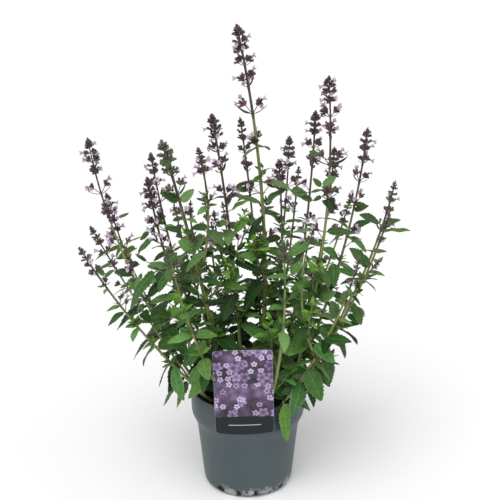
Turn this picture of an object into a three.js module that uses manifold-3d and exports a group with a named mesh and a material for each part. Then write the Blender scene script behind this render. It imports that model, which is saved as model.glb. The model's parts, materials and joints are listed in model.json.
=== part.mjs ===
// Potted catmint: a grey nursery pot filled with peat, a bush of square flowering stems that rise from
// a wide crown, and a plastic plant label hooked over the rim.
// Millimetres, +Z up. The origin is the centre of the pot's underside and the label faces -Y.
//
// Every shoot is one curved square stem with pairs of opposite leaves, each pair turned a quarter from
// the last. The lower, leafy part is one solid. The upper part, the flower spike, is another: a dense
// head of buds at the tip, then whorls of calyces and open flowers above small leaves.

import * as THREE from "three";
import { mergeVertices } from "three/addons/utils/BufferGeometryUtils.js";
import Module from "manifold-3d";

const wasm = await Module();
wasm.setup();

// ---------------------------------------------------------------- driving dimensions

const GAP = 0.35; // clearance between neighbouring solids

const POT = {
  height: 159,
  rimR: 85,
  collarLowR: 84.8,
  collarLowZ: 118,
  bodyTopR: 76.6,
  bodyTopZ: 102,
  bodyLowR: 67.4,
  heel: 10, // height and reach of the rounded corner at the bottom
  footR: 57,
  footInnerR: 51,
  padR: 20, // flat pad in the middle of the underside
  recess: 3, // how far the underside between pad and foot stands off the ground
  wall: 1.7,
  floorZ: 4.8,
  sides: 32,
};
const DRAIN = { count: 6, r: 5, ring: 37, notchWidth: 24, notchHeight: 3.4, turn: -133 };
const SOIL = { edgeZ: 150, crownZ: 153, lump: 1.4, sides: 16, seed: 311 };
const LABEL = {
  width: 84,
  height: 134,
  thick: 0.8,
  corner: 5,
  bulge: 3.5, // how far the bottom edge bows down
  bottomZ: 125,
  centreX: -4,
  clear: 0.5, // from the rim's foremost point
  lean: 3, // degrees that the top leans away from the pot
  roll: 1.6, // degrees that the card is turned in its own plane
  tongueWidth: 20,
  tongueLowZ: 122,
  tongueIn: 1.7, // from the inner wall's foremost point
};

const ROOT_Z = 128; // where the stems end, in the peat
const STRAIGHT = 34; // length of a stem's straight foot, which passes out of the peat
const STEM = { lowR: 2.1, topR: 0.8 };

// Distance of each leaf pair or whorl below the tip of a full-size shoot, and the length of its leaves.
const GROWN = {
  drop: [35, 53, 82, 120, 168, 217, 266, 314, 362, 410, 458],
  long: [5, 8, 14, 25, 37, 46, 53, 57, 56, 52, 46],
};
// The same for a young side shoot that hasn't flowered.
const YOUNG = { drop: [3, 13, 34, 66, 104], long: [14, 25, 36, 44, 46] };
const FULL_LENGTH = 470; // a shoot this long or longer has the drops and leaves above
const LOWEST_LEAF = 41; // no pair nearer than this to the root end
const LOWEST_POINT = 30; // leaves that hang over the rim stay above this height
const BRANCH_CLEAR = 14; // length of a side branch that its own parent's leaves may touch
const BAND = 1.3; // half the height of the band of faces that a leaf pair grows from
const LEAF = {
  halfWidth: 0.215, // of the length
  thick: 1.3, // at the middle of the midrib
  hubAt: 0.42,
  fold: 0.3, // how much the halves rise from the midrib
};
// Outline of one half of the blade, as shares of length and of half width: a short stalk, a broad
// base, then rounded teeth.
const TOOTHED = [
  [0.26, 0.96],
  [0.48, 0.74],
  [0.6, 0.82],
];
const PLAIN = [[0.4, 1.0]];
const TOOTHED_FROM = 35; // leaves this long or longer have teeth
const HUB_FROM = 12; // shorter leaves have no ridge

const CALYX = { long: 8, r: 1.9, waist: 0.6, tilt: 40 };
const FLOWER = { long: 10.5, r: 2.6, waist: 0.76, tilt: 52 };
const WHORL_STALK = [1.5, 5, 8, 8]; // length of the flower stalks from the top whorl down
const FLOWER_TURN = 52; // degrees from the middle of a flower's face toward the leaf it stands over
const BRACT = { first: 2, tilt: 74, extra: 3, droop: 0.05 }; // whorls from the third down have leaves
// Rings of the head: distance below the tip, radius, and whether buds stand on the faces below it.
const HEAD = [
  { drop: 27, r: 0.8, budded: false },
  { drop: 24, r: 2.7, budded: false },
  { drop: 18, r: 3.3, budded: true },
  { drop: 11.5, r: 2.6, budded: true },
  { drop: 5.5, r: 1.5, budded: true },
];
const BUD = { stand: 3.6, rise: 3.4 }; // how far a bud's point stands out and rises

// Leaves keep this far from the marks of other leaves, stems and blooms, and from their own shoot's.
const CLEAR = { leaf: 5.6, stem: 4.8, bloom: 8.5, own: 3 };
const MARKS = {
  along: [0.1, 0.2, 0.31, 0.42, 0.54, 0.66, 0.78, 0.89, 1],
  across: [-0.9, -0.45, 0, 0.45, 0.9],
};
// A leaf tries these turns about the stem, tilts and lengths in order until it is clear.
const TRIES = [
  [0, 0, 1],
  [14, 4, 1],
  [-14, 4, 1],
  [6, -12, 1],
  [-6, 16, 1],
  [26, -4, 0.94],
  [-26, -4, 0.94],
  [18, 18, 0.88],
  [-18, 18, 0.88],
  [30, -10, 0.8],
  [-30, -10, 0.8],
  [0, -16, 0.74],
  [12, 24, 0.66],
  [-12, 24, 0.66],
];

// Each shoot: where it leaves the peat [x, y], its tip [x, y, z], how far its middle is pulled
// sideways [x, y], and the number of whorls in its spike.
const SHOOTS = [
  { name: "01", root: [14, -4], tip: [-14, 0, 688], bend: [45, 5], whorls: 4 },
  { name: "02", root: [-9, -24], tip: [-48, -25, 574], bend: [18, 0], whorls: 3 },
  { name: "03", root: [22, 22], tip: [-11, 60, 549], bend: [14, 10], whorls: 3 },
  { name: "04", root: [52, -26], tip: [107, -30, 626], bend: [48, 0], whorls: 4 },
  { name: "05", root: [44, 6], tip: [94, 25, 567], bend: [18, 0], whorls: 3 },
  { name: "06", root: [50, 32], tip: [129, 120, 489], bend: [30, 10], whorls: 3 },
  { name: "07", root: [60, 14], tip: [171, 62, 533], bend: [36, 4], whorls: 3 },
  { name: "08", root: [52, -6], tip: [206, 5, 472], bend: [44, -4], whorls: 3 },
  { name: "09", root: [44, -32], tip: [193, -50, 446], bend: [34, -14], whorls: 2 },
  { name: "10", root: [20, 42], tip: [61, 92, 513], bend: [14, 10], whorls: 3 },
  { name: "11", root: [33, -10], tip: [44, 36, 494], bend: [20, 14], whorls: 2 },
  { name: "12", root: [32, 56], tip: [77, 134, 455], bend: [10, 20], whorls: 2 },
  { name: "13", root: [-54, -8], tip: [-218, -10, 537], bend: [-54, 0], whorls: 4 },
  { name: "14", root: [-50, 12], tip: [-201, 24, 448], bend: [-46, 8], whorls: 2 },
  { name: "15", root: [-52, -28], tip: [-213, -60, 428], bend: [-4, -18], whorls: 3 },
  { name: "16", root: [-34, -34], tip: [-222, -104, 414], bend: [-24, -18], whorls: 2 },
  { name: "17", root: [-38, 30], tip: [-140, 64, 496], bend: [-26, 6], whorls: 3 },
  { name: "18", root: [-34, 6], tip: [-142, 20, 472], bend: [-30, 6], whorls: 3 },
  { name: "19", root: [-30, -22], tip: [-113, -62, 548], bend: [14, -8], whorls: 3 },
  { name: "20", root: [-20, 40], tip: [-66, 104, 423], bend: [-6, 10], whorls: 2 },
  { name: "21", root: [-34, 52], tip: [-113, 124, 399], bend: [-10, 16], whorls: 2 },
  { name: "22", root: [-4, 58], tip: [-40, 156, 392], bend: [4, 26], whorls: 2 },
  { name: "23", root: [-16, -54], tip: [-104, -118, 420], bend: [-20, -34], whorls: 1 },
  { name: "24", root: [34, -46], tip: [150, -96, 398], bend: [26, -24], whorls: 2 },
  { name: "25", root: [36, 36], tip: [158, 142, 404], bend: [22, 24], whorls: 2 },
  { name: "26", root: [24, -52], tip: [46, -122, 430], bend: [24, -30], whorls: 1 },
];
// Side branches leave a shoot just above a leaf of one of its pairs. Those with whorls end in a
// spike of their own, and the others are young and leafy to the tip.
const BRANCHES = [
  { name: "27", from: "19", pair: 5, tip: [-66, -52, 536], whorls: 2 },
  { name: "28", from: "20", pair: 4, tip: [-84, 66, 424], whorls: 1 },
  { name: "29", from: "09", pair: 5, tip: [180, -96, 398], whorls: 1 },
  { name: "30", from: "02", pair: 6, tip: [-46, -46, 446], whorls: 1 },
  { name: "31", from: "24", pair: 5, tip: [88, -84, 434], whorls: 1 },
  { name: "32", from: "02", pair: 5, tip: [-4, -8, 428], whorls: 0 },
  { name: "33", from: "01", pair: 8, tip: [10, -34, 396], whorls: 0 },
  { name: "34", from: "19", pair: 6, tip: [-30, -56, 372], whorls: 0 },
  { name: "35", from: "04", pair: 7, tip: [99, -64, 368], whorls: 0 },
  { name: "36", from: "15", pair: 5, tip: [-97, -70, 324], whorls: 0 },
  { name: "37", from: "26", pair: 6, tip: [28, -72, 284], whorls: 0 },
  { name: "38", from: "12", pair: 5, tip: [48, 126, 304], whorls: 0 },
  { name: "39", from: "22", pair: 5, tip: [-46, 118, 296], whorls: 0 },
];
const BRANCH_RISE = 6; // height of a branch above its leaf pair
const BRANCH_PULL = 0.2; // how far its middle is pulled away from its parent, as a share of its length

// ---------------------------------------------------------------- small tools

// Park and Miller's minimal generator, so that each draw is the same on every machine.
function drawing(seed) {
  let state = seed;
  return () => {
    state = (state * 16807) % 2147483647;
    return state / 2147483647;
  };
}

const vec = (x, y, z) => new THREE.Vector3(x, y, z);
const along = (p, ...steps) => {
  const at = p.clone();
  for (const [direction, length] of steps) at.addScaledVector(direction, length);
  return at;
};
const radians = THREE.MathUtils.degToRad;
const QUARTER = Math.PI / 2;

// A three.js geometry as a manifold-3d solid.
function solidOf(geometry) {
  const bare = geometry.index ? geometry.toNonIndexed() : geometry.clone();
  const open = new THREE.BufferGeometry().setAttribute("position", bare.getAttribute("position"));
  const merged = mergeVertices(open, 1e-4);
  return new wasm.Manifold(
    new wasm.Mesh({
      numProp: 3,
      vertProperties: merged.attributes.position.array,
      triVerts: new Uint32Array(merged.index.array),
    }),
  );
}

function geometryOf(solid) {
  const mesh = solid.getMesh();
  const geometry = new THREE.BufferGeometry();
  geometry.setAttribute("position", new THREE.BufferAttribute(mesh.vertProperties, 3));
  geometry.setIndex(new THREE.BufferAttribute(mesh.triVerts, 1));
  geometry.computeVertexNormals();
  return geometry;
}

// ---------------------------------------------------------------- grown surfaces

// A closed surface made ring by ring. A loop is a list of point numbers, anticlockwise from outside,
// and any loop can be closed by plain triangles or grown out into a leaf, a calyx or a bud.
class Skin {
  constructor() {
    this.points = [];
    this.triangles = [];
  }

  add(...points) {
    return points.map((p) => this.points.push(p) - 1);
  }

  close(loop) {
    for (let i = 1; i < loop.length - 1; i++) this.triangles.push([loop[0], loop[i], loop[i + 1]]);
  }

  // The four faces between two square rings. A grower listed for a face takes its loop.
  band(low, high, growers = []) {
    for (let j = 0; j < 4; j++) {
      const next = (j + 1) % 4;
      const loop = [low[j], low[next], high[next], high[j]];
      if (growers[j]) growers[j](loop);
      else this.close(loop);
    }
  }

  middle(loop) {
    const sum = loop.reduce((total, i) => total.add(this.points[i]), vec(0, 0, 0));
    return sum.multiplyScalar(1 / loop.length);
  }

  // A spindle on a loop: it widens to radius r at a share of its length, then closes to a point.
  spindle(loop, direction, long, r, waist) {
    const centre = this.middle(loop);
    const belly = along(centre, [direction, long * waist]);
    const ring = loop.map((i) => {
      const out = this.points[i].clone().sub(centre);
      out.addScaledVector(direction, -out.dot(direction)).normalize();
      return this.add(along(belly, [out, r]))[0];
    });
    const [tip] = this.add(along(centre, [direction, long]));
    for (let j = 0; j < loop.length; j++) {
      const next = (j + 1) % loop.length;
      this.close([loop[j], loop[next], ring[next], ring[j]]);
      this.close([ring[j], ring[next], tip]);
    }
  }

  // A bud on a loop: a pyramid whose point stands out from the loop and up along the stem.
  bud(loop, out, stand, forward, rise) {
    const [tip] = this.add(along(this.middle(loop), [out, stand], [forward, rise]));
    for (let j = 0; j < loop.length; j++) this.close([loop[j], loop[(j + 1) % loop.length], tip]);
  }

  // A leaf on a four-sided loop: upper and lower faces meet in one outline, which runs from the
  // loop's left side to the tip and back to its right side.
  blade(loop, outline, upper, lower) {
    const [a, b, c, d] = loop;
    const edge = this.add(...outline);
    const last = edge.length - 1;
    if (upper) {
      const [over, under] = this.add(upper, lower);
      const rim = [d, ...edge, c];
      const keel = [a, ...edge, b];
      for (let i = 0; i < rim.length - 1; i++) {
        this.close([over, rim[i], rim[i + 1]]);
        this.close([under, keel[i + 1], keel[i]]);
      }
      this.close([over, c, d]);
      this.close([under, a, b]);
    } else {
      const tip = edge[last / 2];
      this.close([tip, edge[last], c, d, edge[0]]);
      this.close([tip, edge[0], a, b, edge[last]]);
    }
    this.close([edge[0], d, a]);
    this.close([edge[last], b, c]);
  }

  geometry() {
    const geometry = new THREE.BufferGeometry();
    const flat = this.points.flatMap((p) => [p.x, p.y, p.z]);
    geometry.setAttribute("position", new THREE.Float32BufferAttribute(flat, 3));
    geometry.setIndex(this.triangles.flat());
    geometry.computeVertexNormals();
    return geometry;
  }
}

// ---------------------------------------------------------------- shoots

// A quadratic curve from root to tip, read by distance below the tip.
class Shoot {
  constructor(row, root, index) {
    this.name = row.name;
    this.whorls = row.whorls;
    this.draw = drawing(7919 * (index + 1));
    this.start = root;
    this.end = vec(...row.tip);
    this.pull = vec(
      (root.x + row.tip[0]) / 2 + row.bend[0],
      (root.y + row.tip[1]) / 2 + row.bend[1],
      (root.z + row.tip[2]) / 2,
    );
    const chord = this.end.clone().sub(this.start);
    this.side = this.pull.clone().sub(this.start).cross(chord).normalize();
    this.turn = this.draw() * Math.PI;
    this.table = [0];
    for (let i = 1; i <= Shoot.PARTS; i++) {
      const step = this.pointAt(i / Shoot.PARTS).distanceTo(this.pointAt((i - 1) / Shoot.PARTS));
      this.table.push(this.table[i - 1] + step);
    }
    this.length = this.table[Shoot.PARTS];
    this.young = row.whorls === 0;
    this.plan = this.young ? YOUNG : GROWN;
    this.scale = this.young ? 1 : Math.min(1, 0.45 + (0.55 * this.length) / FULL_LENGTH);
  }

  pointAt(t) {
    const s = 1 - t;
    return along(vec(0, 0, 0), [this.start, s * s], [this.pull, 2 * s * t], [this.end, t * t]);
  }

  // The curve's parameter at a distance below the tip.
  parameter(distance) {
    const wanted = this.length - distance;
    let i = 1;
    while (i < Shoot.PARTS && this.table[i] < wanted) i++;
    const share = (wanted - this.table[i - 1]) / (this.table[i] - this.table[i - 1]);
    return (i - 1 + share) / Shoot.PARTS;
  }

  // Point, direction of growth, and two directions across, at a distance below the tip.
  frame(distance) {
    const t = this.parameter(distance);
    const pace = [
      [this.start, t - 1],
      [this.pull, 1 - 2 * t],
      [this.end, t],
    ];
    const forward = along(vec(0, 0, 0), ...pace).normalize();
    const across = this.side.clone().cross(forward);
    return { point: this.pointAt(t), forward, across, side: this.side };
  }

  // Direction across the stem at an angle round it.
  outward(frame, angle) {
    return along(vec(0, 0, 0), [frame.across, Math.cos(angle)], [frame.side, Math.sin(angle)]);
  }

  radius(distance) {
    return STEM.topR + (STEM.lowR - STEM.topR) * Math.min(1, distance / FULL_LENGTH);
  }

  // The corners of the square stem. Face j lies between corners j and j + 1.
  square(distance, r = this.radius(distance), twist = 0) {
    const frame = this.frame(distance);
    return [0, 1, 2, 3].map((j) => {
      return along(frame.point, [this.outward(frame, this.turn + twist + j * QUARTER), r]);
    });
  }

  nodeDrop(k) {
    return this.plan.drop[k] * this.scale;
  }

  leafLength(k) {
    return this.plan.long[k] * (0.5 + 0.5 * this.scale);
  }

  // The angle that the first leaf of pair k faces: the middle of face k mod 2.
  nodeTurn(k) {
    return this.turn + (0.5 + (k % 2)) * QUARTER;
  }

  // The spike is cut from the leafy stem here, just under its lowest whorl.
  get cut() {
    return this.young ? 0 : this.nodeDrop(this.whorls - 1) + 6;
  }

  get pairs() {
    const last = this.length - (this.young ? BRANCH_CLEAR : LOWEST_LEAF);
    return this.plan.drop.map((_, k) => k).filter((k) => k >= this.whorls && this.nodeDrop(k) < last);
  }
}
Shoot.PARTS = 48;

// Direction at a tilt from the stem, toward an outward direction.
function leaning(frame, out, tilt) {
  return along(vec(0, 0, 0), [frame.forward, Math.cos(tilt)], [out, Math.sin(tilt)]).normalize();
}

// ---------------------------------------------------------------- leaves

// Where a leaf lies: its root on the stem's axis, its direction, and how far it droops.
function leafPlace(shoot, k, side, tilt, spin, long, droop) {
  const frame = shoot.frame(shoot.nodeDrop(k));
  const out = shoot.outward(frame, shoot.nodeTurn(k) + side * Math.PI + spin);
  const direction = leaning(frame, out, tilt);
  const up = along(frame.forward, [direction, -frame.forward.dot(direction)]).normalize();
  const across = direction.clone().cross(up);
  return { root: frame.point, direction, up, across, long, droop };
}

// A point of the blade at a share of its length and of its half width. The blade arches down and its
// halves rise from the midrib.
function leafPoint(place, share, wide, raise = 0) {
  const half = LEAF.halfWidth * place.long;
  const rise = LEAF.fold * Math.abs(wide) * half - place.droop * place.long * share * share;
  return along(
    place.root,
    [place.direction, place.long * share],
    [place.up, rise + raise],
    [place.across, wide * half],
  );
}

function growLeaf(skin, loop, place) {
  const half = place.long < TOOTHED_FROM ? PLAIN : TOOTHED;
  // The across direction points to the loop's left.
  const left = half.map(([share, wide]) => leafPoint(place, share, wide));
  const right = half.map(([share, wide]) => leafPoint(place, share, -wide)).reverse();
  const outline = [...left, leafPoint(place, 1, 0), ...right];
  if (place.long < HUB_FROM) return skin.blade(loop, outline);
  const upper = leafPoint(place, LEAF.hubAt, 0, LEAF.thick / 2);
  const lower = leafPoint(place, LEAF.hubAt, 0, -LEAF.thick / 2);
  return skin.blade(loop, outline, upper, lower);
}

// Points that stand for a blade when it is kept clear of what grows beside it.
function leafMarks(place) {
  const marks = [];
  for (const share of MARKS.along) {
    const wide = Math.sin(Math.PI * Math.min(1, share * 0.9 + 0.1));
    for (const w of MARKS.across) marks.push(leafPoint(place, share, w * wide));
  }
  return marks;
}

// ---------------------------------------------------------------- keeping clear

const taken = []; // { owner, point, reach, leaf }

function claim(owner, points, reach, leaf = false) {
  for (const point of points) taken.push({ owner, point, reach, leaf });
}

function isClear(owner, points, long) {
  return taken.every((mark) => {
    if (mark.owner === owner && !mark.leaf) return true;
    if (mark.point.distanceTo(points[0]) > long + mark.reach) return true;
    const reach = mark.owner === owner ? CLEAR.own : mark.reach;
    return points.every((point) => point.distanceToSquared(mark.point) > reach * reach);
  });
}

// Leaves stay clear of the label, the pot's wall and the peat.
function isInReach(points) {
  return points.every((p) => {
    const r = Math.hypot(p.x, p.y);
    const floor = r < POT.rimR - 8 ? SOIL.crownZ + 4 : POT.height + 3;
    if (r < POT.rimR + 4 && p.z < floor) return false;
    const besideLabel = Math.abs(p.x - LABEL.centreX) > LABEL.width / 2 + 6;
    const overLabel = p.z > LABEL.bottomZ + LABEL.height + 6;
    return p.z > LOWEST_POINT && (besideLabel || overLabel || p.y > 6 - POT.rimR);
  });
}

// The first clear place for one leaf of pair k, or null where there is no room.
function findPlace(shoot, k, side) {
  const lean = (shoot.young ? 30 + 13 * k : 46 + 5 * k) + 24 * shoot.draw();
  const spin = (shoot.draw() - 0.5) * 20;
  const droop = 0.1 + 0.28 * shoot.draw() + 0.02 * k;
  const long = shoot.leafLength(k) * (0.86 + 0.24 * shoot.draw());
  for (const [turn, lower, share] of TRIES) {
    const tilt = radians(lean + lower);
    const place = leafPlace(shoot, k, side, tilt, radians(spin + turn), long * share, droop);
    const marks = leafMarks(place);
    if (isInReach(marks) && isClear(shoot.name, marks, long)) {
      claim(shoot.name, marks, CLEAR.leaf, true);
      return place;
    }
  }
  return null;
}

// ---------------------------------------------------------------- stems and flower spikes

// Climbs a shoot from its lowest ring to a top ring, past a stop for each leaf pair or whorl.
function climb(skin, shoot, ring, top, stops) {
  let low = ring;
  for (const stop of stops) {
    const under = skin.add(...shoot.square(stop.drop + BAND));
    const over = skin.add(...shoot.square(stop.drop - BAND));
    skin.band(low, under);
    skin.band(under, over, stop.growers);
    low = over;
  }
  const last = skin.add(...shoot.square(top));
  skin.band(low, last);
  return last;
}

// A stop that grows the leaves of pair k.
function leafStop(skin, shoot, k, places) {
  const growers = [];
  places.forEach((place, side) => {
    if (place) growers[(k % 2) + 2 * side] = (loop) => growLeaf(skin, loop, place);
  });
  return { drop: shoot.nodeDrop(k), growers };
}

function stemSkin(shoot, leaves, branches) {
  const skin = new Skin();
  const foot = skin.add(...shoot.square(shoot.length));
  skin.close([...foot].reverse());
  const stops = leafStops(skin, shoot, leaves);
  for (const branch of branches) {
    const stop = { drop: branch.rootDrop, growers: [] };
    stop.growers[branch.face] = (loop) => {
      skin.close(climb(skin, branch, loop, branch.cut, leafStops(skin, branch, leaves)));
    };
    stops.push(stop);
  }
  const straight = { drop: shoot.length - STRAIGHT, growers: [] };
  stops.push(straight);
  stops.sort((one, other) => other.drop - one.drop);
  skin.close(climb(skin, shoot, foot, shoot.cut, stops));
  return skin;
}

function leafStops(skin, shoot, leaves) {
  return shoot.pairs.map((k) => leafStop(skin, shoot, k, leaves.get(shoot.name)[k])).reverse();
}

// Calyces and open flowers of whorl k, on the two faces beside its leaves, and the leaves themselves.
function whorlStop(skin, shoot, k) {
  const frame = shoot.frame(shoot.nodeDrop(k));
  const first = k % 2;
  const stalk = WHORL_STALK[k] * shoot.scale;
  const growers = [];
  for (const side of [0, 1]) {
    if (k >= BRACT.first) {
      const long = shoot.leafLength(k) + BRACT.extra;
      const place = leafPlace(shoot, k, side, radians(BRACT.tilt), 0, long, BRACT.droop);
      growers[first + 2 * side] = (loop) => growLeaf(skin, loop, place);
    }
    growers[(first + 2 * side + 1) % 4] = ([a, b, c, d]) => {
      const middle = shoot.nodeTurn(k) + (2 * side + 1) * QUARTER;
      const halves = [
        { loop: [a, c, d], turn: -FLOWER_TURN, open: side === 0 },
        { loop: [a, b, c], turn: FLOWER_TURN, open: side === 1 },
      ];
      for (const { loop, turn, open } of halves) {
        const form = open ? FLOWER : CALYX;
        const out = shoot.outward(frame, middle + radians(turn));
        const direction = leaning(frame, out, radians(form.tilt));
        const long = form.long + stalk;
        skin.spindle(loop, direction, long, form.r, (form.waist * form.long + stalk) / long);
      }
    };
  }
  return { drop: shoot.nodeDrop(k), growers };
}

function spikeSkin(shoot) {
  const skin = new Skin();
  const foot = skin.add(...shoot.square(shoot.cut - GAP));
  skin.close([...foot].reverse());
  const stops = Array.from({ length: shoot.whorls }, (_, k) => whorlStop(skin, shoot, k)).reverse();
  const neck = climb(skin, shoot, foot, HEAD[0].drop * shoot.scale, stops);
  growHead(skin, shoot, neck);
  return skin;
}

// The dense head: rings set a half turn of a face apart, with a bud on each triangle between them.
function growHead(skin, shoot, neck) {
  let low = neck;
  HEAD.slice(1).forEach(({ drop, r, budded }, i) => {
    const distance = drop * shoot.scale;
    const high = skin.add(...shoot.square(distance, r * shoot.scale, ((i + 1) * QUARTER) / 2));
    const frame = shoot.frame(distance);
    for (let j = 0; j < 4; j++) {
      const next = (j + 1) % 4;
      for (const loop of [
        [low[j], low[next], high[j]],
        [low[next], high[next], high[j]],
      ]) {
        const out = skin.middle(loop).sub(frame.point);
        out.addScaledVector(frame.forward, -out.dot(frame.forward)).normalize();
        if (budded) skin.bud(loop, out, BUD.stand * shoot.scale, frame.forward, BUD.rise * shoot.scale);
        else skin.close(loop);
      }
    }
    low = high;
  });
  const [tip] = skin.add(shoot.end);
  for (let j = 0; j < 4; j++) skin.close([low[j], low[(j + 1) % 4], tip]);
}

function claimShoot(shoot) {
  const stem = [];
  const from = shoot.rootDrop === undefined ? 4 : BRANCH_CLEAR;
  for (let d = 2; d < shoot.length - from; d += 4) stem.push(shoot.frame(d).point);
  claim(shoot.name, stem, CLEAR.stem);
  if (shoot.young) return;
  const bloom = [4, 12, 20].map((d) => shoot.frame(d * shoot.scale).point);
  for (let k = 0; k < shoot.whorls; k++) {
    const frame = shoot.frame(shoot.nodeDrop(k) - 5);
    for (const side of [-1, 0, 1]) {
      const reach = side * (4 + WHORL_STALK[k]) * shoot.scale;
      bloom.push(along(frame.point, [shoot.outward(frame, shoot.nodeTurn(k)), reach]));
    }
  }
  claim("bloom " + shoot.name, bloom, CLEAR.bloom);
}

// ---------------------------------------------------------------- pot, peat and label

function lathe(profile, sides) {
  const points = profile.map(([r, z]) => new THREE.Vector2(r, z));
  const geometry = new THREE.LatheGeometry(points, sides);
  geometry.rotateX(Math.PI / 2);
  const made = solidOf(geometry);
  if (made.volume() > 0) return made;
  const turned = new THREE.LatheGeometry(points.reverse(), sides);
  turned.rotateX(Math.PI / 2);
  return solidOf(turned);
}

// The pot's outer wall from the foot up, and its inner wall one wall thickness inside.
function potSolid() {
  const heel = [0, 45, 90].map((angle) => [
    POT.footR + (POT.bodyLowR - POT.footR) * Math.sin(radians(angle)),
    POT.heel * (1 - Math.cos(radians(angle))),
  ]);
  const body = lathe(
    [
      [0, 0],
      [POT.padR, 0],
      [POT.padR + 1.5, POT.recess],
      [POT.footInnerR - 1.5, POT.recess],
      [POT.footInnerR, 0],
      ...heel,
      [POT.bodyTopR, POT.bodyTopZ],
      [POT.collarLowR, POT.collarLowZ],
      [POT.rimR, POT.height - 1],
      [POT.rimR - 0.5, POT.height],
      [POT.rimR - POT.wall, POT.height],
      ...potInside(0),
      [0, POT.floorZ],
    ],
    POT.sides,
  );
  const cuts = [];
  for (let i = 0; i < DRAIN.count; i++) {
    const turn = radians(DRAIN.turn + (i * 360) / DRAIN.count);
    const hole = new THREE.CylinderGeometry(DRAIN.r, DRAIN.r, 12, 8);
    hole.rotateX(Math.PI / 2);
    hole.translate(DRAIN.ring, 0, POT.floorZ);
    hole.rotateZ(turn);
    const notch = new THREE.BoxGeometry(30, DRAIN.notchWidth, 2 * DRAIN.notchHeight);
    notch.translate(POT.footInnerR + 13, 0, 0);
    notch.rotateZ(turn);
    cuts.push(solidOf(hole), solidOf(notch));
  }
  return body.subtract(wasm.Manifold.union(cuts));
}

// The inner wall from the rim down to the floor, shrunk by a clearance for what fills it.
function potInside(clear) {
  const inset = POT.wall + clear;
  return [
    [POT.collarLowR - inset, POT.collarLowZ + 0.8],
    [POT.bodyTopR - inset, POT.bodyTopZ + 0.8],
    [POT.bodyLowR - inset, POT.heel + 0.6],
    [POT.bodyLowR - inset - 3, POT.floorZ + clear + 0.8],
    [POT.bodyLowR - inset - 8, POT.floorZ + clear],
  ];
}

function soilSolid(shoots) {
  const edge = POT.rimR - POT.wall - GAP;
  const profile = [
    [0, SOIL.crownZ],
    [30, SOIL.crownZ - 0.4],
    [60, SOIL.crownZ - 1.6],
    [edge, SOIL.edgeZ],
    ...potInside(GAP),
    [0, POT.floorZ + GAP],
  ];
  const points = profile.map(([r, z]) => new THREE.Vector2(r, z)).reverse();
  const geometry = new THREE.LatheGeometry(points, SOIL.sides);
  geometry.rotateX(Math.PI / 2);
  geometry.deleteAttribute("normal");
  geometry.deleteAttribute("uv");
  const merged = mergeVertices(geometry, 1e-3);
  const place = merged.attributes.position;
  const draw = drawing(SOIL.seed);
  for (let i = 0; i < place.count; i++) {
    const shift = (draw() - 0.5) * 2 * SOIL.lump;
    if (place.getZ(i) > SOIL.edgeZ + 0.5) place.setZ(i, place.getZ(i) + shift);
  }
  const holes = shoots.map((shoot) => solidOf(holeSkin(shoot).geometry()));
  const slotFront = -POT.rimR;
  const slotBack = POT.wall + LABEL.tongueIn + LABEL.thick + GAP - POT.rimR;
  const tongue = new THREE.BoxGeometry(LABEL.tongueWidth + 2 * GAP, slotBack - slotFront, 120);
  tongue.translate(LABEL.centreX, (slotBack + slotFront) / 2, LABEL.tongueLowZ - GAP + 60);
  return solidOf(merged).subtract(wasm.Manifold.union([...holes, solidOf(tongue)]));
}

// The straight square hole that a stem's foot stands in.
function holeSkin(shoot) {
  const skin = new Skin();
  const wider = shoot.radius(shoot.length) + GAP * Math.SQRT2;
  const foot = shoot.square(shoot.length, wider);
  const mouth = shoot.square(shoot.length - STRAIGHT + BAND, wider);
  const down = foot[0].clone().sub(mouth[0]).normalize();
  const low = skin.add(...foot.map((p) => along(p, [down, GAP])));
  const high = skin.add(...mouth);
  skin.close([...low].reverse());
  skin.band(low, high);
  skin.close(high);
  return skin;
}

// A flat card with rounded corners outside the rim, a bridge over it, and a tongue down inside.
function labelSolid() {
  const half = LABEL.width / 2;
  const shape = new THREE.Shape();
  shape.moveTo(-half, LABEL.corner);
  shape.quadraticCurveTo(-half, 0.6, -half + LABEL.corner, 0);
  shape.quadraticCurveTo(0, -2 * LABEL.bulge, half - LABEL.corner, 0);
  shape.quadraticCurveTo(half, 0.6, half, LABEL.corner);
  shape.lineTo(half, LABEL.height - LABEL.corner);
  shape.absarc(half - LABEL.corner, LABEL.height - LABEL.corner, LABEL.corner, 0, Math.PI / 2);
  shape.absarc(LABEL.corner - half, LABEL.height - LABEL.corner, LABEL.corner, Math.PI / 2, Math.PI);
  const card = new THREE.ExtrudeGeometry(shape, {
    depth: LABEL.thick,
    bevelEnabled: false,
    curveSegments: 5,
  });
  card.rotateX(Math.PI / 2); // the card's height is now +Z and its thickness runs to -Y
  card.rotateY(radians(-LABEL.roll));
  card.rotateX(radians(LABEL.lean));
  card.translate(LABEL.centreX, -POT.rimR - LABEL.clear, LABEL.bottomZ);

  const lowest = Math.tan(radians(LABEL.lean)) * (POT.height - LABEL.bottomZ);
  const cardBack = -POT.rimR - LABEL.clear - lowest;
  const tongueFront = POT.wall + LABEL.tongueIn - POT.rimR;
  const bridgeZ = POT.height + GAP;
  const reach = tongueFront + LABEL.thick - cardBack + 0.3;
  const bridge = new THREE.BoxGeometry(LABEL.tongueWidth, reach, LABEL.thick);
  bridge.translate(LABEL.centreX, cardBack - 0.3 + reach / 2, bridgeZ + LABEL.thick / 2);
  const tongueHigh = bridgeZ + LABEL.thick - LABEL.tongueLowZ;
  const tongue = new THREE.BoxGeometry(LABEL.tongueWidth, LABEL.thick, tongueHigh);
  tongue.translate(LABEL.centreX, tongueFront + LABEL.thick / 2, LABEL.tongueLowZ + tongueHigh / 2);
  return wasm.Manifold.union([solidOf(card), solidOf(bridge), solidOf(tongue)]);
}

// ---------------------------------------------------------------- the whole plant

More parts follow.
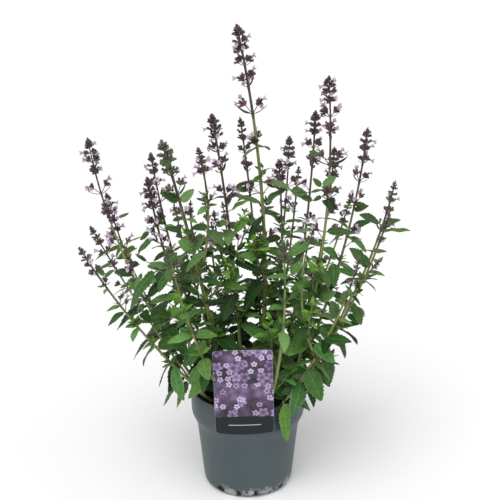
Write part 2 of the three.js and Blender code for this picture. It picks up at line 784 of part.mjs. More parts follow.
const plastic = { color: 0x5a6264, roughness: 0.45, metalness: 0 };
const peat = { color: 0x1d1712, roughness: 1, metalness: 0 };
const print = { color: 0x7d6a92, roughness: 0.35, metalness: 0 };
const foliage = { color: 0x3f6b35, roughness: 0.6, metalness: 0 };
const bloom = { color: 0x4a2f45, roughness: 0.7, metalness: 0 };

const catmint = new THREE.Group();
catmint.name = "catmint_plant";

function add(name, geometry, finish) {
  const mesh = new THREE.Mesh(geometry, new THREE.MeshStandardMaterial(finish));
  mesh.name = name;
  catmint.add(mesh);
}

const mains = SHOOTS.map((row, i) => new Shoot(row, vec(...row.root, ROOT_Z), i));
const branches = BRANCHES.map((row, i) => branchOf(row, SHOOTS.length + i));
const everyShoot = [...mains, ...branches];

// A branch starts at the middle of a face of its parent, with its corners at the face's corners.
function branchOf(row, index) {
  const parent = mains.find((shoot) => shoot.name === row.from);
  const rootDrop = parent.nodeDrop(row.pair) - BRANCH_RISE;
  const frame = parent.frame(rootDrop);
  const toTip = vec(...row.tip).sub(frame.point);
  const first = parent.outward(frame, parent.nodeTurn(row.pair));
  const face = (row.pair % 2) + (first.dot(toTip) > 0 ? 0 : 2);
  const low = parent.square(rootDrop + BAND);
  const high = parent.square(rootDrop - BAND);
  const corners = [low[face], low[(face + 1) % 4], high[(face + 1) % 4], high[face]];
  const middle = along(vec(0, 0, 0), ...corners.map((corner) => [corner, 0.25]));
  const pull = middle.clone().sub(frame.point).setLength(BRANCH_PULL * toTip.length());
  const branch = new Shoot({ ...row, bend: [pull.x, pull.y] }, middle, index);
  const start = branch.frame(branch.length);
  const arm = corners[0].clone().sub(middle);
  branch.turn = Math.atan2(arm.dot(start.side), arm.dot(start.across));
  return Object.assign(branch, { parent, rootDrop, face });
}

everyShoot.forEach(claimShoot);
const leaves = new Map();
for (const shoot of everyShoot) {
  const places = [];
  for (const k of shoot.pairs) places[k] = [0, 1].map((side) => findPlace(shoot, k, side));
  leaves.set(shoot.name, places);
}

add("pot", geometryOf(potSolid()), plastic);
add("soil", geometryOf(soilSolid(mains)), peat);
add("plant_label", geometryOf(labelSolid()), print);
for (const shoot of mains) {
  const own = branches.filter((branch) => branch.parent === shoot);
  add("leafy_stem_" + shoot.name, stemSkin(shoot, leaves, own).geometry(), foliage);
}
for (const shoot of everyShoot.filter((each) => !each.young)) {
  add("flower_spike_" + shoot.name, spikeSkin(shoot).geometry(), bloom);
}

export default catmint;
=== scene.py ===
"""Potted catmint: finer pieces for the pot, peat, plant label, leafy stems and flower spikes.

Shapes are worked out in millimetres, +Z up, and go into the meshes in metres. Every plant shape is a
stack of closed rings from its root to its tip, so a stem, a leaf, a calyx and a flower are all the
same kind of surface: a point as a function of the place along it and the place round it.
"""

import json
import math
from collections import namedtuple

import bpy
import numpy as np
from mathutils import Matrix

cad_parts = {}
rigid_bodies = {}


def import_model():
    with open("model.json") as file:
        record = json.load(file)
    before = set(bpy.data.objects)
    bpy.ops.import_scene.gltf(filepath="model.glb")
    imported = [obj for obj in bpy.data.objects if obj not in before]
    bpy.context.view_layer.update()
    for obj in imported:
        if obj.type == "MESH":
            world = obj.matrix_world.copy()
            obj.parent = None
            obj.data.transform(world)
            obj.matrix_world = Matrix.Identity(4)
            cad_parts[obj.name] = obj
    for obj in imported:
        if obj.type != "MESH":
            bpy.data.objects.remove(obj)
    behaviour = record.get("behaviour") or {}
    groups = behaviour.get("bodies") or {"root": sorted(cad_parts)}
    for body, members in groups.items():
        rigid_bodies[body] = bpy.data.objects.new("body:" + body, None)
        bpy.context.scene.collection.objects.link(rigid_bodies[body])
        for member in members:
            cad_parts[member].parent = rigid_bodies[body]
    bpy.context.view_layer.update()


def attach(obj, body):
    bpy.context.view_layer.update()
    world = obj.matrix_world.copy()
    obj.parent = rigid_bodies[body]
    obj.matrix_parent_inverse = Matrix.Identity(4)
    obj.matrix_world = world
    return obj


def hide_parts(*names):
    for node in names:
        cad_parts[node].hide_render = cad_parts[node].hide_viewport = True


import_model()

MM = 0.001
TAU = 2 * math.pi
QUARTER = math.pi / 2

# ---- camera

CAMERA = {"elevation": 20.9, "distance": 1525, "aim": (3.1, 0, 371.9), "lens": 76.97, "sensor": 36}
VIEW_END = 60  # metres


def camera_place():
    """The aim, plus the distance times a direction that points back and up by the elevation."""
    tip = math.radians(CAMERA["elevation"])
    back = np.array([0, -math.cos(tip), math.sin(tip)])
    return np.array(CAMERA["aim"]) + back * CAMERA["distance"]


def set_camera():
    """A camera that looks at the aim from its place, with its sides upright."""
    camera = bpy.data.objects.new("camera", bpy.data.cameras.new("camera"))
    bpy.context.collection.objects.link(camera)
    camera.location = camera_place() * MM
    camera.rotation_euler = (QUARTER - math.radians(CAMERA["elevation"]), 0, 0)
    camera.data.sensor_width = CAMERA["sensor"]
    camera.data.lens = CAMERA["lens"]
    camera.data.clip_end = VIEW_END
    bpy.context.scene.camera = camera


set_camera()

# ---- sizes of the pot, the peat and the label

# Corners of a profile are (radius, height). The peat's fall is how much lower it lies at the wall.
POT = {
    "height": 159, "rim": 85, "collar_low": 128, "neck": (84.7, 119), "shoulder": (76.4, 100),
    "waist": (72, 56), "heel": 10, "foot": 57, "foot_in": 51, "pad": 20, "underside": 3, "floor": 4.8,
}
DRAIN = {"turn": -133, "count": 6, "ring": 37, "r": 5, "notch_width": 24, "notch_height": 4.6}
PEAT = {"r": 83, "crown": 153, "fall": 3, "rough": 1.5, "crumbs": 700, "strewn": 82, "highest": 156.5}
LABEL = {
    "width": 84, "height": 134, "thick": 0.8, "corner": 5, "bulge": 3.5, "bottom": 125, "x": -4,
    "clear": 0.5, "lean": 3, "roll": 1.6, "tongue": 20, "tongue_low": 122, "tongue_y": -81.6,
}

# ---- how the plant grows

ROOT_Z = 128
STEM_LOW_R, STEM_TOP_R = 2.1, 0.8
FULL_LENGTH = 470  # a shoot this long or longer has the full sizes below
SMALLEST = 0.45  # scale that a shoot of no length would have
# Distance of each leaf pair or whorl below the tip, and the length of its leaves, on a shoot that
# flowers and on a young one.
GROWN = (
    [35, 53, 82, 120, 168, 217, 266, 314, 362, 410, 458],
    [5, 8, 14, 25, 37, 46, 53, 57, 56, 52, 46],
)
YOUNG = ([3, 13, 34, 66, 104], [14, 25, 36, 44, 46])
# No leaf pair is nearer than this to the root of a shoot that flowers, or of a young one.
LOWEST_LEAF, BRANCH_CLEAR = 41, 14
BAND = 1.3  # half the height of the band that a branch starts from
HALF_WIDTH, FOLD = 0.215, 0.3  # half width of a packed blade, and rise of its halves, as shares
WHORL_STALK = [1.5, 5, 8, 8]
BRANCH_RISE, BRANCH_PULL = 6, 0.2
SPIKE_FOOT = 6  # a spike ends this far below its lowest whorl
# A leaf's lean in degrees at the first pair, and how much more it is at each next pair.
LEAN_YOUNG, LEAN_GROWN = (30, 13), (46, 5)
# Random parts of a leaf's lean and of its turn about the stem, in degrees.
LEAN_SPREAD, SPIN_SPREAD = 24, 20
# Least value and random part of a leaf's droop and of its share of full length.
DROOP, DROOP_SPREAD, DROOP_PER_PAIR = 0.1, 0.28, 0.02
LONG, LONG_SPREAD = 0.86, 0.24

# name, root, tip, sideways pull of the middle, whorls
SHOOTS = [
    ("01", (14, -4), (-14, 0, 688), (45, 5), 4), ("02", (-9, -24), (-48, -25, 574), (18, 0), 3),
    ("03", (22, 22), (-11, 60, 549), (14, 10), 3), ("04", (52, -26), (107, -30, 626), (48, 0), 4),
    ("05", (44, 6), (94, 25, 567), (18, 0), 3), ("06", (50, 32), (129, 120, 489), (30, 10), 3),
    ("07", (60, 14), (171, 62, 533), (36, 4), 3), ("08", (52, -6), (206, 5, 472), (44, -4), 3),
    ("09", (44, -32), (193, -50, 446), (34, -14), 2), ("10", (20, 42), (61, 92, 513), (14, 10), 3),
    ("11", (33, -10), (44, 36, 494), (20, 14), 2), ("12", (32, 56), (77, 134, 455), (10, 20), 2),
    ("13", (-54, -8), (-218, -10, 537), (-54, 0), 4), ("14", (-50, 12), (-201, 24, 448), (-46, 8), 2),
    ("15", (-52, -28), (-213, -60, 428), (-4, -18), 3),
    ("16", (-34, -34), (-222, -104, 414), (-24, -18), 2), ("17", (-38, 30), (-140, 64, 496), (-26, 6), 3),
    ("18", (-34, 6), (-142, 20, 472), (-30, 6), 3), ("19", (-30, -22), (-113, -62, 548), (14, -8), 3),
    ("20", (-20, 40), (-66, 104, 423), (-6, 10), 2), ("21", (-34, 52), (-113, 124, 399), (-10, 16), 2),
    ("22", (-4, 58), (-40, 156, 392), (4, 26), 2), ("23", (-16, -54), (-104, -118, 420), (-20, -34), 1),
    ("24", (34, -46), (150, -96, 398), (26, -24), 2), ("25", (36, 36), (158, 142, 404), (22, 24), 2),
    ("26", (24, -52), (46, -122, 430), (24, -30), 1),
]
# name, parent, leaf pair, tip, whorls
BRANCHES = [
    ("27", "19", 5, (-66, -52, 536), 2), ("28", "20", 4, (-84, 66, 424), 1),
    ("29", "09", 5, (180, -96, 398), 1), ("30", "02", 6, (-46, -46, 446), 1),
    ("31", "24", 5, (88, -84, 434), 1), ("32", "02", 5, (-4, -8, 428), 0),
    ("33", "01", 8, (10, -34, 396), 0), ("34", "19", 6, (-30, -56, 372), 0),
    ("35", "04", 7, (99, -64, 368), 0), ("36", "15", 5, (-97, -70, 324), 0),
    ("37", "26", 6, (28, -72, 284), 0), ("38", "12", 5, (48, 126, 304), 0),
    ("39", "22", 5, (-46, 118, 296), 0),
]

Place = namedtuple("Place", "root direction up across long droop")
Frame = namedtuple("Frame", "point forward across side")


def drawing(seed):
    """Park and Miller's minimal generator: each state is the last times 16807, modulo 2**31 - 1."""
    state = seed

    def draw():
        """The next state as a share of the modulus."""
        nonlocal state
        state = state * 16807 % 2147483647
        return state / 2147483647

    return draw


def unit(vectors):
    """Each vector over its own length."""
    return vectors / np.linalg.norm(vectors, axis=-1, keepdims=True)


def column(values):
    """Values with one more axis, so that each of them scales a whole vector."""
    return np.asarray(values, float)[..., None]


class Shoot:
    """A stem on a quadratic curve from root to tip. Places on it go by distance below the tip."""

    SHARES = np.linspace(0, 1, 49)

    def __init__(self, name, root, tip, bend, whorls, index):
        self.name, self.whorls, self.young = name, whorls, whorls == 0
        self.draw = drawing(7919 * (index + 1))
        self.start, self.end = np.array(root, float), np.array(tip, float)
        self.pull = (self.start + self.end) / 2 + (bend[0], bend[1], 0)
        self.side = unit(np.cross(self.pull - self.start, self.end - self.start))
        self.turn = self.draw() * math.pi
        steps = np.linalg.norm(np.diff(self.point_at(self.SHARES), axis=0), axis=1)
        self.table = np.append(0, np.cumsum(steps))
        self.length = self.table[-1]
        self.drops, self.sizes = YOUNG if self.young else GROWN
        self.scale = 1 if self.young else min(1, SMALLEST + (1 - SMALLEST) * self.length / FULL_LENGTH)
        self.cut = 0 if self.young else self.node_drop(whorls - 1) + SPIKE_FOOT
        last = self.length - (BRANCH_CLEAR if self.young else LOWEST_LEAF)
        self.pairs = [k for k in range(whorls, len(self.drops)) if self.node_drop(k) < last]
        self.parent, self.root_drop = None, 0

    def point_at(self, t):
        """Start times (1-t)^2, plus pull times 2t(1-t), plus end times t^2."""
        t = column(t)
        return self.start * (1 - t) ** 2 + self.pull * 2 * t * (1 - t) + self.end * t * t

    def frame(self, distance):
        """Point, direction of growth, and the two directions across, at distances below the tip."""
        t = np.interp(self.length - np.asarray(distance, float), self.table, self.SHARES)
        s = column(t)
        forward = unit(self.start * (s - 1) + self.pull * (1 - 2 * s) + self.end * s)
        side = np.broadcast_to(self.side, forward.shape)
        return Frame(self.point_at(t), forward, np.cross(side, forward), side)

    def radius(self, distance):
        """From the top radius at the tip, in a straight line to the low one at full length."""
        return STEM_TOP_R + (STEM_LOW_R - STEM_TOP_R) * np.minimum(1, distance / FULL_LENGTH)

    def node_drop(self, k):
        """Distance of pair or whorl k below the tip."""
        return self.drops[k] * self.scale

    def leaf_length(self, k):
        """Full length of the leaves of pair k, half of which goes by the shoot's scale."""
        return self.sizes[k] * (0.5 + 0.5 * self.scale)

    def node_turn(self, k):
        """Turn of pair k about the stem: each pair stands a quarter from the last."""
        return self.turn + (0.5 + k % 2) * QUARTER


def swung(a, b, angle):
    """Direction a swung toward b: a times the angle's cosine plus b times its sine."""
    return a * column(np.cos(angle)) + b * column(np.sin(angle))


def outward(at, angle):
    """The direction out of a stem at an angle from its across to its side."""
    return swung(at.across, at.side, angle)


def leaning(at, out, tilt):
    """The direction of growth swung outward by the tilt."""
    return unit(swung(at.forward, out, tilt))


def upright(direction, forward):
    """The part of forward that is square to the direction, at unit length."""
    return unit(forward - direction * column((forward * direction).sum(-1)))


def place_on(at, out, tilt, long, droop):
    """The place of a leaf that leans outward from a point of a stem by the tilt."""
    direction = leaning(at, out, tilt)
    up = upright(direction, at.forward)
    return Place(at.point, direction, up, np.cross(direction, up), long, droop)


def leaf_place(shoot, k, side, tilt, spin, long, droop):
    """The place of one leaf of pair k, turned about the stem by the spin."""
    at = shoot.frame(shoot.node_drop(k))
    return place_on(at, outward(at, shoot.node_turn(k) + side * math.pi + spin), tilt, long, droop)


# ---- keeping leaves clear of each other

CLEAR_LEAF, CLEAR_STEM, CLEAR_BLOOM, CLEAR_OWN = 5.6, 4.8, 8.5, 3
CLEAR_POT, CLEAR_PEAT, CLEAR_RIM, CLEAR_LABEL = 4, 4, 3, 6
INSIDE_RIM = 8  # nearer to the axis than this inside the rim, only the peat is in the way
LOWEST_POINT = 30
MOST_MARKS = 60000
HEAD_MARKS = (4, 12, 20)  # distances below the tip of the marks of a head
BLOOM_OWNERS = 1000  # added to a shoot's number, so that its own leaves keep clear of its flowers too
# Marks of a leaf as shares of its length and of its half width.
MARKS_ALONG = np.array([0.1, 0.2, 0.31, 0.42, 0.54, 0.66, 0.78, 0.89, 1])
MARKS_ACROSS = np.array([-0.9, -0.45, 0, 0.45, 0.9])
# A leaf tries these turns, tilts and shares of its length in order until it is clear.
TRIES = [
    (0, 0, 1), (14, 4, 1), (-14, 4, 1), (6, -12, 1), (-6, 16, 1), (26, -4, 0.94), (-26, -4, 0.94),
    (18, 18, 0.88), (-18, 18, 0.88), (30, -10, 0.8), (-30, -10, 0.8), (0, -16, 0.74),
    (12, 24, 0.66), (-12, 24, 0.66),
]


def leaf_marks(place):
    """Points of the blade: 9 places along it times 5 across, narrower toward both ends."""
    share, wide = np.meshgrid(MARKS_ALONG, MARKS_ACROSS, indexing="ij")
    wide = wide * np.sin(math.pi * np.minimum(1, share * 0.9 + 0.1))
    half = HALF_WIDTH * place.long
    rise = FOLD * np.abs(wide) * half - place.droop * place.long * share * share
    marks = (
        place.root
        + place.direction * column(place.long * share)
        + place.up * column(rise)
        + place.across * column(wide * half)
    )
    return marks.reshape(-1, 3)


class Room:
    """Marks of what has already grown, each with its owner and the distance to keep from it."""

    def __init__(self):
        self.points = np.zeros((MOST_MARKS, 3))
        self.reach = np.zeros(MOST_MARKS)
        self.owner = np.zeros(MOST_MARKS, int)
        self.leaf = np.zeros(MOST_MARKS, bool)
        self.count = 0

    def claim(self, owner, points, reach, leaf=False):
        """Adds marks of one owner, which others keep the reach away from."""
        rows = slice(self.count, self.count + len(points))
        self.points[rows], self.reach[rows] = points, reach
        self.owner[rows], self.leaf[rows] = owner, leaf
        self.count = rows.stop

    def crowd(self, owner, points, reach):
        """How many pairs of these points and the marks of others are nearer to each other than the reach."""
        seen, middle = slice(0, self.count), points.mean(0)
        spread = np.linalg.norm(points - middle, axis=1).max()
        near = np.linalg.norm(self.points[seen] - middle, axis=1) < spread + reach
        others = self.points[seen][near & ((self.owner[seen] != owner) | self.leaf[seen])]
        return int((((points[:, None] - others[None]) ** 2).sum(-1) < reach * reach).sum())

    def is_clear(self, owner, points, long, ease=1):
        """True where every point of a leaf keeps its distance, times the ease, from every mark. Marks of
        the owner's own stem don't count."""
        seen = slice(0, self.count)
        own = self.owner[seen] == owner
        gap = np.linalg.norm(self.points[seen] - points[0], axis=1)
        near = ~(own & ~self.leaf[seen]) & (gap <= long + self.reach[seen])
        reach = np.where(own, CLEAR_OWN, self.reach[seen])[near] * ease
        apart = ((points[:, None] - self.points[seen][near][None]) ** 2).sum(-1)
        return bool((apart > reach**2).all())


def is_in_reach(points):
    """True where no point is in the pot's wall, in the peat, behind the label or too near the ground."""
    x, y, z = points.T
    r = np.hypot(x, y)
    floor = np.where(r < POT["rim"] - INSIDE_RIM, PEAT["crown"] + CLEAR_PEAT, POT["height"] + CLEAR_RIM)
    in_pot = (r < POT["rim"] + CLEAR_POT) & (z < floor)
    beside_label = np.abs(x - LABEL["x"]) > LABEL["width"] / 2 + CLEAR_LABEL
    over_label = z > LABEL["bottom"] + LABEL["height"] + CLEAR_LABEL
    free = (z > LOWEST_POINT) & (beside_label | over_label | (y > CLEAR_LABEL - POT["rim"]))
    return bool((free & ~in_pot).all())


def find_place(room, owner, shoot, k, side):
    """The first clear place for one leaf of pair k, or None where there is no room."""
    first, more = LEAN_YOUNG if shoot.young else LEAN_GROWN
    lean = first + more * k + LEAN_SPREAD * shoot.draw()
    spin = (shoot.draw() - 0.5) * SPIN_SPREAD
    droop = DROOP + DROOP_SPREAD * shoot.draw() + DROOP_PER_PAIR * k
    long = shoot.leaf_length(k) * (LONG + LONG_SPREAD * shoot.draw())
    for turn, lower, share in TRIES:
        tilt, turned = math.radians(lean + lower), math.radians(spin + turn)
        place = leaf_place(shoot, k, side, tilt, turned, long * share, droop)
        marks = leaf_marks(place)
        if is_in_reach(marks) and room.is_clear(owner, marks, long):
            room.claim(owner, marks, CLEAR_LEAF, True)
            return place
    return None


def claim_shoot(room, owner, shoot):
    """Marks every 4 mm along the stem, down the head, and at the middle and both sides of each whorl."""
    gap = 4
    below = gap if shoot.parent is None else BRANCH_CLEAR
    room.claim(owner, shoot.frame(np.arange(gap / 2, shoot.length - below, gap)).point, CLEAR_STEM)
    if shoot.young:
        return
    bloom = [shoot.frame(drop * shoot.scale).point for drop in HEAD_MARKS]
    for k in range(shoot.whorls):
        at = shoot.frame(shoot.node_drop(k) - 5)
        reach = (4 + WHORL_STALK[k]) * shoot.scale
        out = outward(at, shoot.node_turn(k))
        bloom += [at.point + out * side * reach for side in (-1, 0, 1)]
    room.claim(BLOOM_OWNERS + owner, np.array(bloom), CLEAR_BLOOM)


def branch_of(mains, name, origin, pair, tip, whorls, index):
    """A side branch, which starts at the middle of the face of its parent that looks toward its tip."""
    parent = next(shoot for shoot in mains if shoot.name == origin)
    drop = parent.node_drop(pair) - BRANCH_RISE
    at = parent.frame(drop)
    to_tip = np.array(tip) - at.point
    face = pair % 2 + (0 if outward(at, parent.node_turn(pair)) @ to_tip > 0 else 2)
    corners = []
    for distance, turn in ((drop + BAND, 0), (drop + BAND, 1), (drop - BAND, 1), (drop - BAND, 0)):
        ring = parent.frame(distance)
        out = outward(ring, parent.turn + (face + turn) * QUARTER)
        corners.append(ring.point + out * parent.radius(distance))
    middle = np.mean(corners, axis=0)
    pull = unit(middle - at.point) * BRANCH_PULL * np.linalg.norm(to_tip)
    branch = Shoot(name, middle, tip, pull[:2], whorls, index)
    start, arm = branch.frame(branch.length), corners[0] - middle
    branch.turn = math.atan2(arm @ start.side, arm @ start.across)
    branch.parent, branch.root_drop = parent, drop
    return branch


def grow_plant():
    """Every shoot, and the place of each leaf of each of its pairs."""
    mains = [Shoot(n, (*root, ROOT_Z), tip, bend, w, i) for i, (n, root, tip, bend, w) in enumerate(SHOOTS)]
    branches = [branch_of(mains, *row, len(mains) + i) for i, row in enumerate(BRANCHES)]
    room, shoots = Room(), mains + branches
    for owner, shoot in enumerate(shoots):
        claim_shoot(room, owner, shoot)
    for owner, shoot in enumerate(shoots):
        shoot.leaves = {k: [find_place(room, owner, shoot, k, s) for s in (0, 1)] for k in shoot.pairs}
    return mains, branches, room


# ---- leaves and flowers with a place of their own

# Places below are counted in the camera's picture, in steps of a picture 500 steps wide, from its upper
# left corner. Each row starts with the shoot that carries the piece, or with the layer that says which
# of the shoots that pass there carries it, and goes on with the piece's start and end, across and down.

FRONT, MIDDLE, BACK = "front", "middle", "back"
Leaf = namedtuple("Leaf", "carrier start end width sag tone youth side y", defaults=(0, "upper", None))
Young = namedtuple("Young", "carrier start end leaf youth pairs")
Cyme = namedtuple("Cyme", "carrier start end count")

# Single leaves: width, how far the blade sags below a straight line and tone, then youth, the side that
# shows and the depth of the leaf's start where these aren't the usual ones. The tone is partly the leaf's
# own
# green and partly painted shade: leaves at the back and deep in the plant get dark tones.
SINGLE_LEAVES = [
    (FRONT, 142, 281, 120, 288, 5, 1, 0.35), ("23", 158, 270, 130, 310, 8, 6, 0.3, 0, "upper", -117),
    (MIDDLE, 158, 298, 139, 313, 3, 1, 0.2), (FRONT, 126, 312, 108, 326, 5, 3, 0.3),
    (FRONT, 104, 277, 115, 270, 4, 1, 0.4), (FRONT, 104, 277, 95, 264, 5, 1, 0.6),
    (FRONT, 114, 262, 98, 270, 3, 1, 0.5), (MIDDLE, 128, 248, 113, 246, 3, 0, 0.3),
    (MIDDLE, 122, 245, 116, 258, 4, 1, 0.5), (MIDDLE, 131, 258, 115, 259, 3, 0, 0.3),
    (MIDDLE, 140, 264, 127, 265, 6, 1, 0.1), (MIDDLE, 153, 240, 137, 256, 4, 3, 0.4),
    (FRONT, 196, 252, 178, 241, 10, 1, 0.8, 0.1), (FRONT, 190, 252, 205, 235, 7, 1, 0.5),
    (MIDDLE, 196, 262, 179, 270, 7, 2, 0.25), (MIDDLE, 190, 270, 173, 290, 10, 2, 0.1),
    (MIDDLE, 196, 259, 213, 252, 6, 1, 0.1), (FRONT, 175, 315, 140, 322, 8, 3, 0.5),
    (FRONT, 172, 317, 150, 330, 7, 2, 0.6), (FRONT, 176, 352, 170, 393, 10, -2, 0.3, 0, "under"),
    ("19", 203, 340, 184, 367, 13, 1, 0.7), ("19", 203, 350, 188, 366, 7, 1, 0.4),
    ("23", 209, 361, 203, 393, 9, 1, 0.16, 0.02), ("23", 202, 364, 190, 384, 9, 1, 0.42),
    (MIDDLE, 170, 320, 164, 329, 6, 0, 0.4), ("02", 243, 352, 214, 350, 6, 5, 0.6, 0, "under"),
    (MIDDLE, 262, 331, 223, 343, 9, 3, 0.1), (FRONT, 262, 203, 235, 196, 5, 1, 0.6),
    (FRONT, 265, 203, 288, 187, 6, 1, 0.5), (MIDDLE, 250, 191, 232, 187, 5, 0, 0.3),
    (MIDDLE, 231, 210, 248, 201, 4, 1, 0.6, 0.4), (FRONT, 225, 206, 231, 193, 9, 0, 0.4),
    (FRONT, 233, 232, 250, 219, 8, 1, 0.7, 0.2), (FRONT, 232, 234, 199, 245, 5, 5, 0.6),
    (MIDDLE, 283, 222, 269, 214, 4, 1, 0.4), (MIDDLE, 283, 222, 303, 220, 4, 1, 0.5),
    (MIDDLE, 290, 189, 309, 198, 8, 2, 0.6), (FRONT, 264, 252, 256, 236, 8, 0, 0.3),
    (FRONT, 257, 257, 239, 256, 7, 1, 0.7), (MIDDLE, 210, 240, 222, 247, 7, 1, 0.5),
    (MIDDLE, 210, 250, 196, 257, 8, 1, 0.2), (MIDDLE, 216, 250, 236, 254, 6, 2, 0.1),
    (MIDDLE, 309, 240, 288, 256, 11, 1, 0.5), (MIDDLE, 309, 241, 292, 268, 7, 1, 0.3),
    (FRONT, 325, 245, 304, 239, 4, 1, 0.4), (MIDDLE, 350, 229, 329, 245, 4, 1, 0.4),
    (MIDDLE, 350, 229, 335, 220, 4, 1, 0.4), (MIDDLE, 352, 228, 372, 221, 7, 2, 0.2),
    (MIDDLE, 380, 224, 359, 215, 5, 1, 0.2), (MIDDLE, 380, 226, 401, 220, 6, 2, 0.3),
    (MIDDLE, 384, 231, 411, 231, 4, 0, 0.5), (MIDDLE, 368, 266, 349, 248, 8, 1, 0.4),
    (MIDDLE, 368, 268, 362, 254, 7, 0, 0.3), (MIDDLE, 367, 271, 385, 276, 5, 2, 0.6, 0.1),
    (MIDDLE, 357, 275, 336, 270, 7, 1, 0.5, 0.1), (MIDDLE, 357, 278, 376, 275, 3, 0, 0.4),
    (MIDDLE, 356, 278, 340, 285, 4, 1, 0.4), (MIDDLE, 356, 279, 359, 291, 7, 0, 0.1, 0, "under"),
    ("04", 333, 262, 334, 287, 12, 0, 0.3), (FRONT, 320, 300, 311, 278, 13, 0, 0.3),
    (FRONT, 312, 294, 293, 297, 7, 1, 0.6, 0.1), (FRONT, 318, 300, 336, 292, 8, 1, 0.9),
    (MIDDLE, 348, 301, 358, 311, 5, 1, 0.3), (MIDDLE, 347, 309, 365, 317, 4, 1, 0.5),
    (MIDDLE, 345, 314, 362, 323, 6, 1, 0.3), (MIDDLE, 342, 327, 363, 322, 4, 1, 0.4),
    (MIDDLE, 347, 304, 333, 291, 9, 1, 0.2), (FRONT, 308, 342, 275, 352, 7, 4, 0.8, 0.05),
    (MIDDLE, 310, 341, 273, 343, 8, 5, 0.4), (FRONT, 312, 338, 290, 331, 7, 1, 0.6),
    (FRONT, 322, 340, 352, 342, 10, 4, 0.2), (FRONT, 330, 336, 346, 350, 7, 2, 0.3, 0, "under"),
    (FRONT, 313, 343, 335, 363, 12, 2, 0.7, 0.15), (FRONT, 306, 366, 322, 401, 17, 2, 0.3),
    (MIDDLE, 313, 366, 330, 387, 8, 1, 0.3, 0, "under"), (FRONT, 303, 366, 281, 366, 6, 1, 0.6),
    (FRONT, 304, 372, 289, 385, 9, 0, 0.5, 0, "under"), ("24", 309, 388, 281, 393, 12, 3, 0.2),
    (FRONT, 258, 285, 230, 298, 8, 4, 0.6), (FRONT, 290, 276, 267, 278, 5, 1, 0.7),
    (FRONT, 290, 275, 303, 262, 6, 1, 0.6), (FRONT, 294, 297, 262, 294, 9, 3, 0.7),
    (FRONT, 293, 305, 264, 306, 6, 3, 0.5), (FRONT, 310, 319, 295, 312, 6, 1, 0.8, 0.1),
    (MIDDLE, 256, 310, 232, 318, 6, 3, 0.5), (FRONT, 245, 262, 233, 252, 6, 1, 0.5, 0.1),
    (MIDDLE, 222, 318, 206, 326, 7, 1, 0.4), (MIDDLE, 228, 308, 246, 301, 6, 1, 0.4),
    (MIDDLE, 180, 283, 196, 293, 8, 1, 0.2), (MIDDLE, 335, 318, 330, 301, 9, 0, 0.3),
    (MIDDLE, 262, 270, 280, 283, 6, 1, 0.4), (MIDDLE, 340, 300, 352, 290, 6, 1, 0.5),
    ("24", 283, 401, 288, 441, 12, 0, 0.3, 0.6, "upper", -74), ("19", 179, 202, 160, 193, 8, 1, 0.2),
    ("19", 180, 202, 194, 189, 10, 0, 0.9, 0.1), ("19", 172, 166, 160, 161, 6, 1, 0.4),
    ("04", 322, 187, 313, 178, 9, 0, 0.3), ("04", 322, 187, 336, 176, 8, 0, 0.7),
    ("04", 322, 196, 337, 189, 4, 1, 0.3), ("04", 322, 196, 313, 201, 6, 1, 0.2),
    ("07", 352, 210, 369, 206, 6, 1, 0.2), ("04", 320, 156, 309, 151, 7, 0, 0.3),
    (MIDDLE, 313, 200, 300, 197, 7, 1, 0.5), ("01", 262, 176, 252, 182, 6, 1, 0.4),
    ("14", 137, 248, 117, 258, 6, 3, 0.5), ("19", 182, 232, 164, 228, 6, 1, 0.15),
    ("19", 183, 231, 195, 234, 4, 1, 0.2), ("23", 166, 264, 177, 252, 8, 1, 0.3),
    ("23", 166, 268, 149, 263, 5, 1, 0.6), ("23", 167, 268, 171, 283, 8, 1, 0.35),
    ("17", 153, 226, 166, 216, 5, 1, 0.15), ("14", 120, 217, 129, 213, 3, 0, 0.4),
    ("14", 121, 229, 112, 228, 9, 0, 0.45), ("17", 147, 262, 135, 254, 4, 1, 0.3),
    ("17", 150, 232, 140, 240, 4, 1, 0.25), ("18", 172, 262, 188, 256, 8, 1, 0.2),
    (MIDDLE, 205, 262, 190, 256, 7, 1, 0.3), (MIDDLE, 214, 226, 228, 222, 5, 1, 0.4),
    (MIDDLE, 236, 268, 222, 262, 7, 1, 0.15), (MIDDLE, 258, 292, 244, 300, 8, 2, 0.1),
    (MIDDLE, 232, 300, 216, 296, 8, 2, 0.15), (MIDDLE, 250, 322, 234, 330, 9, 2, 0.1),
    (MIDDLE, 256, 330, 272, 336, 9, 2, 0.15), (MIDDLE, 226, 318, 212, 324, 8, 2, 0.2),
    (MIDDLE, 254, 350, 240, 338, 9, 1, 0.1), (MIDDLE, 236, 346, 251, 336, 9, 1, 0.15),
    (MIDDLE, 228, 332, 240, 326, 8, 1, 0.1), (MIDDLE, 262, 318, 250, 312, 7, 1, 0.1),
    (BACK, 176, 264, 164, 276, 8, 1, 0.12), (MIDDLE, 174, 266, 207, 259, 6, -2, 0.15),
    (BACK, 192, 270, 180, 294, 12, 1, 0.05), (BACK, 176, 290, 163, 305, 9, 1, 0.1),
    (BACK, 172, 283, 196, 292, 8, 1, 0.12), (BACK, 168, 302, 150, 318, 7, 2, 0.12),
    (BACK, 184, 262, 200, 275, 8, 1, 0.1), (BACK, 196, 300, 182, 318, 8, 1, 0.12),
    (BACK, 188, 318, 172, 335, 8, 1, 0.12), (FRONT, 168, 267, 147, 266, 7, 1, 0.45),
    (BACK, 170, 271, 151, 283, 8, 2, 0.12), (BACK, 163, 283, 147, 297, 7, 1, 0.12),
]
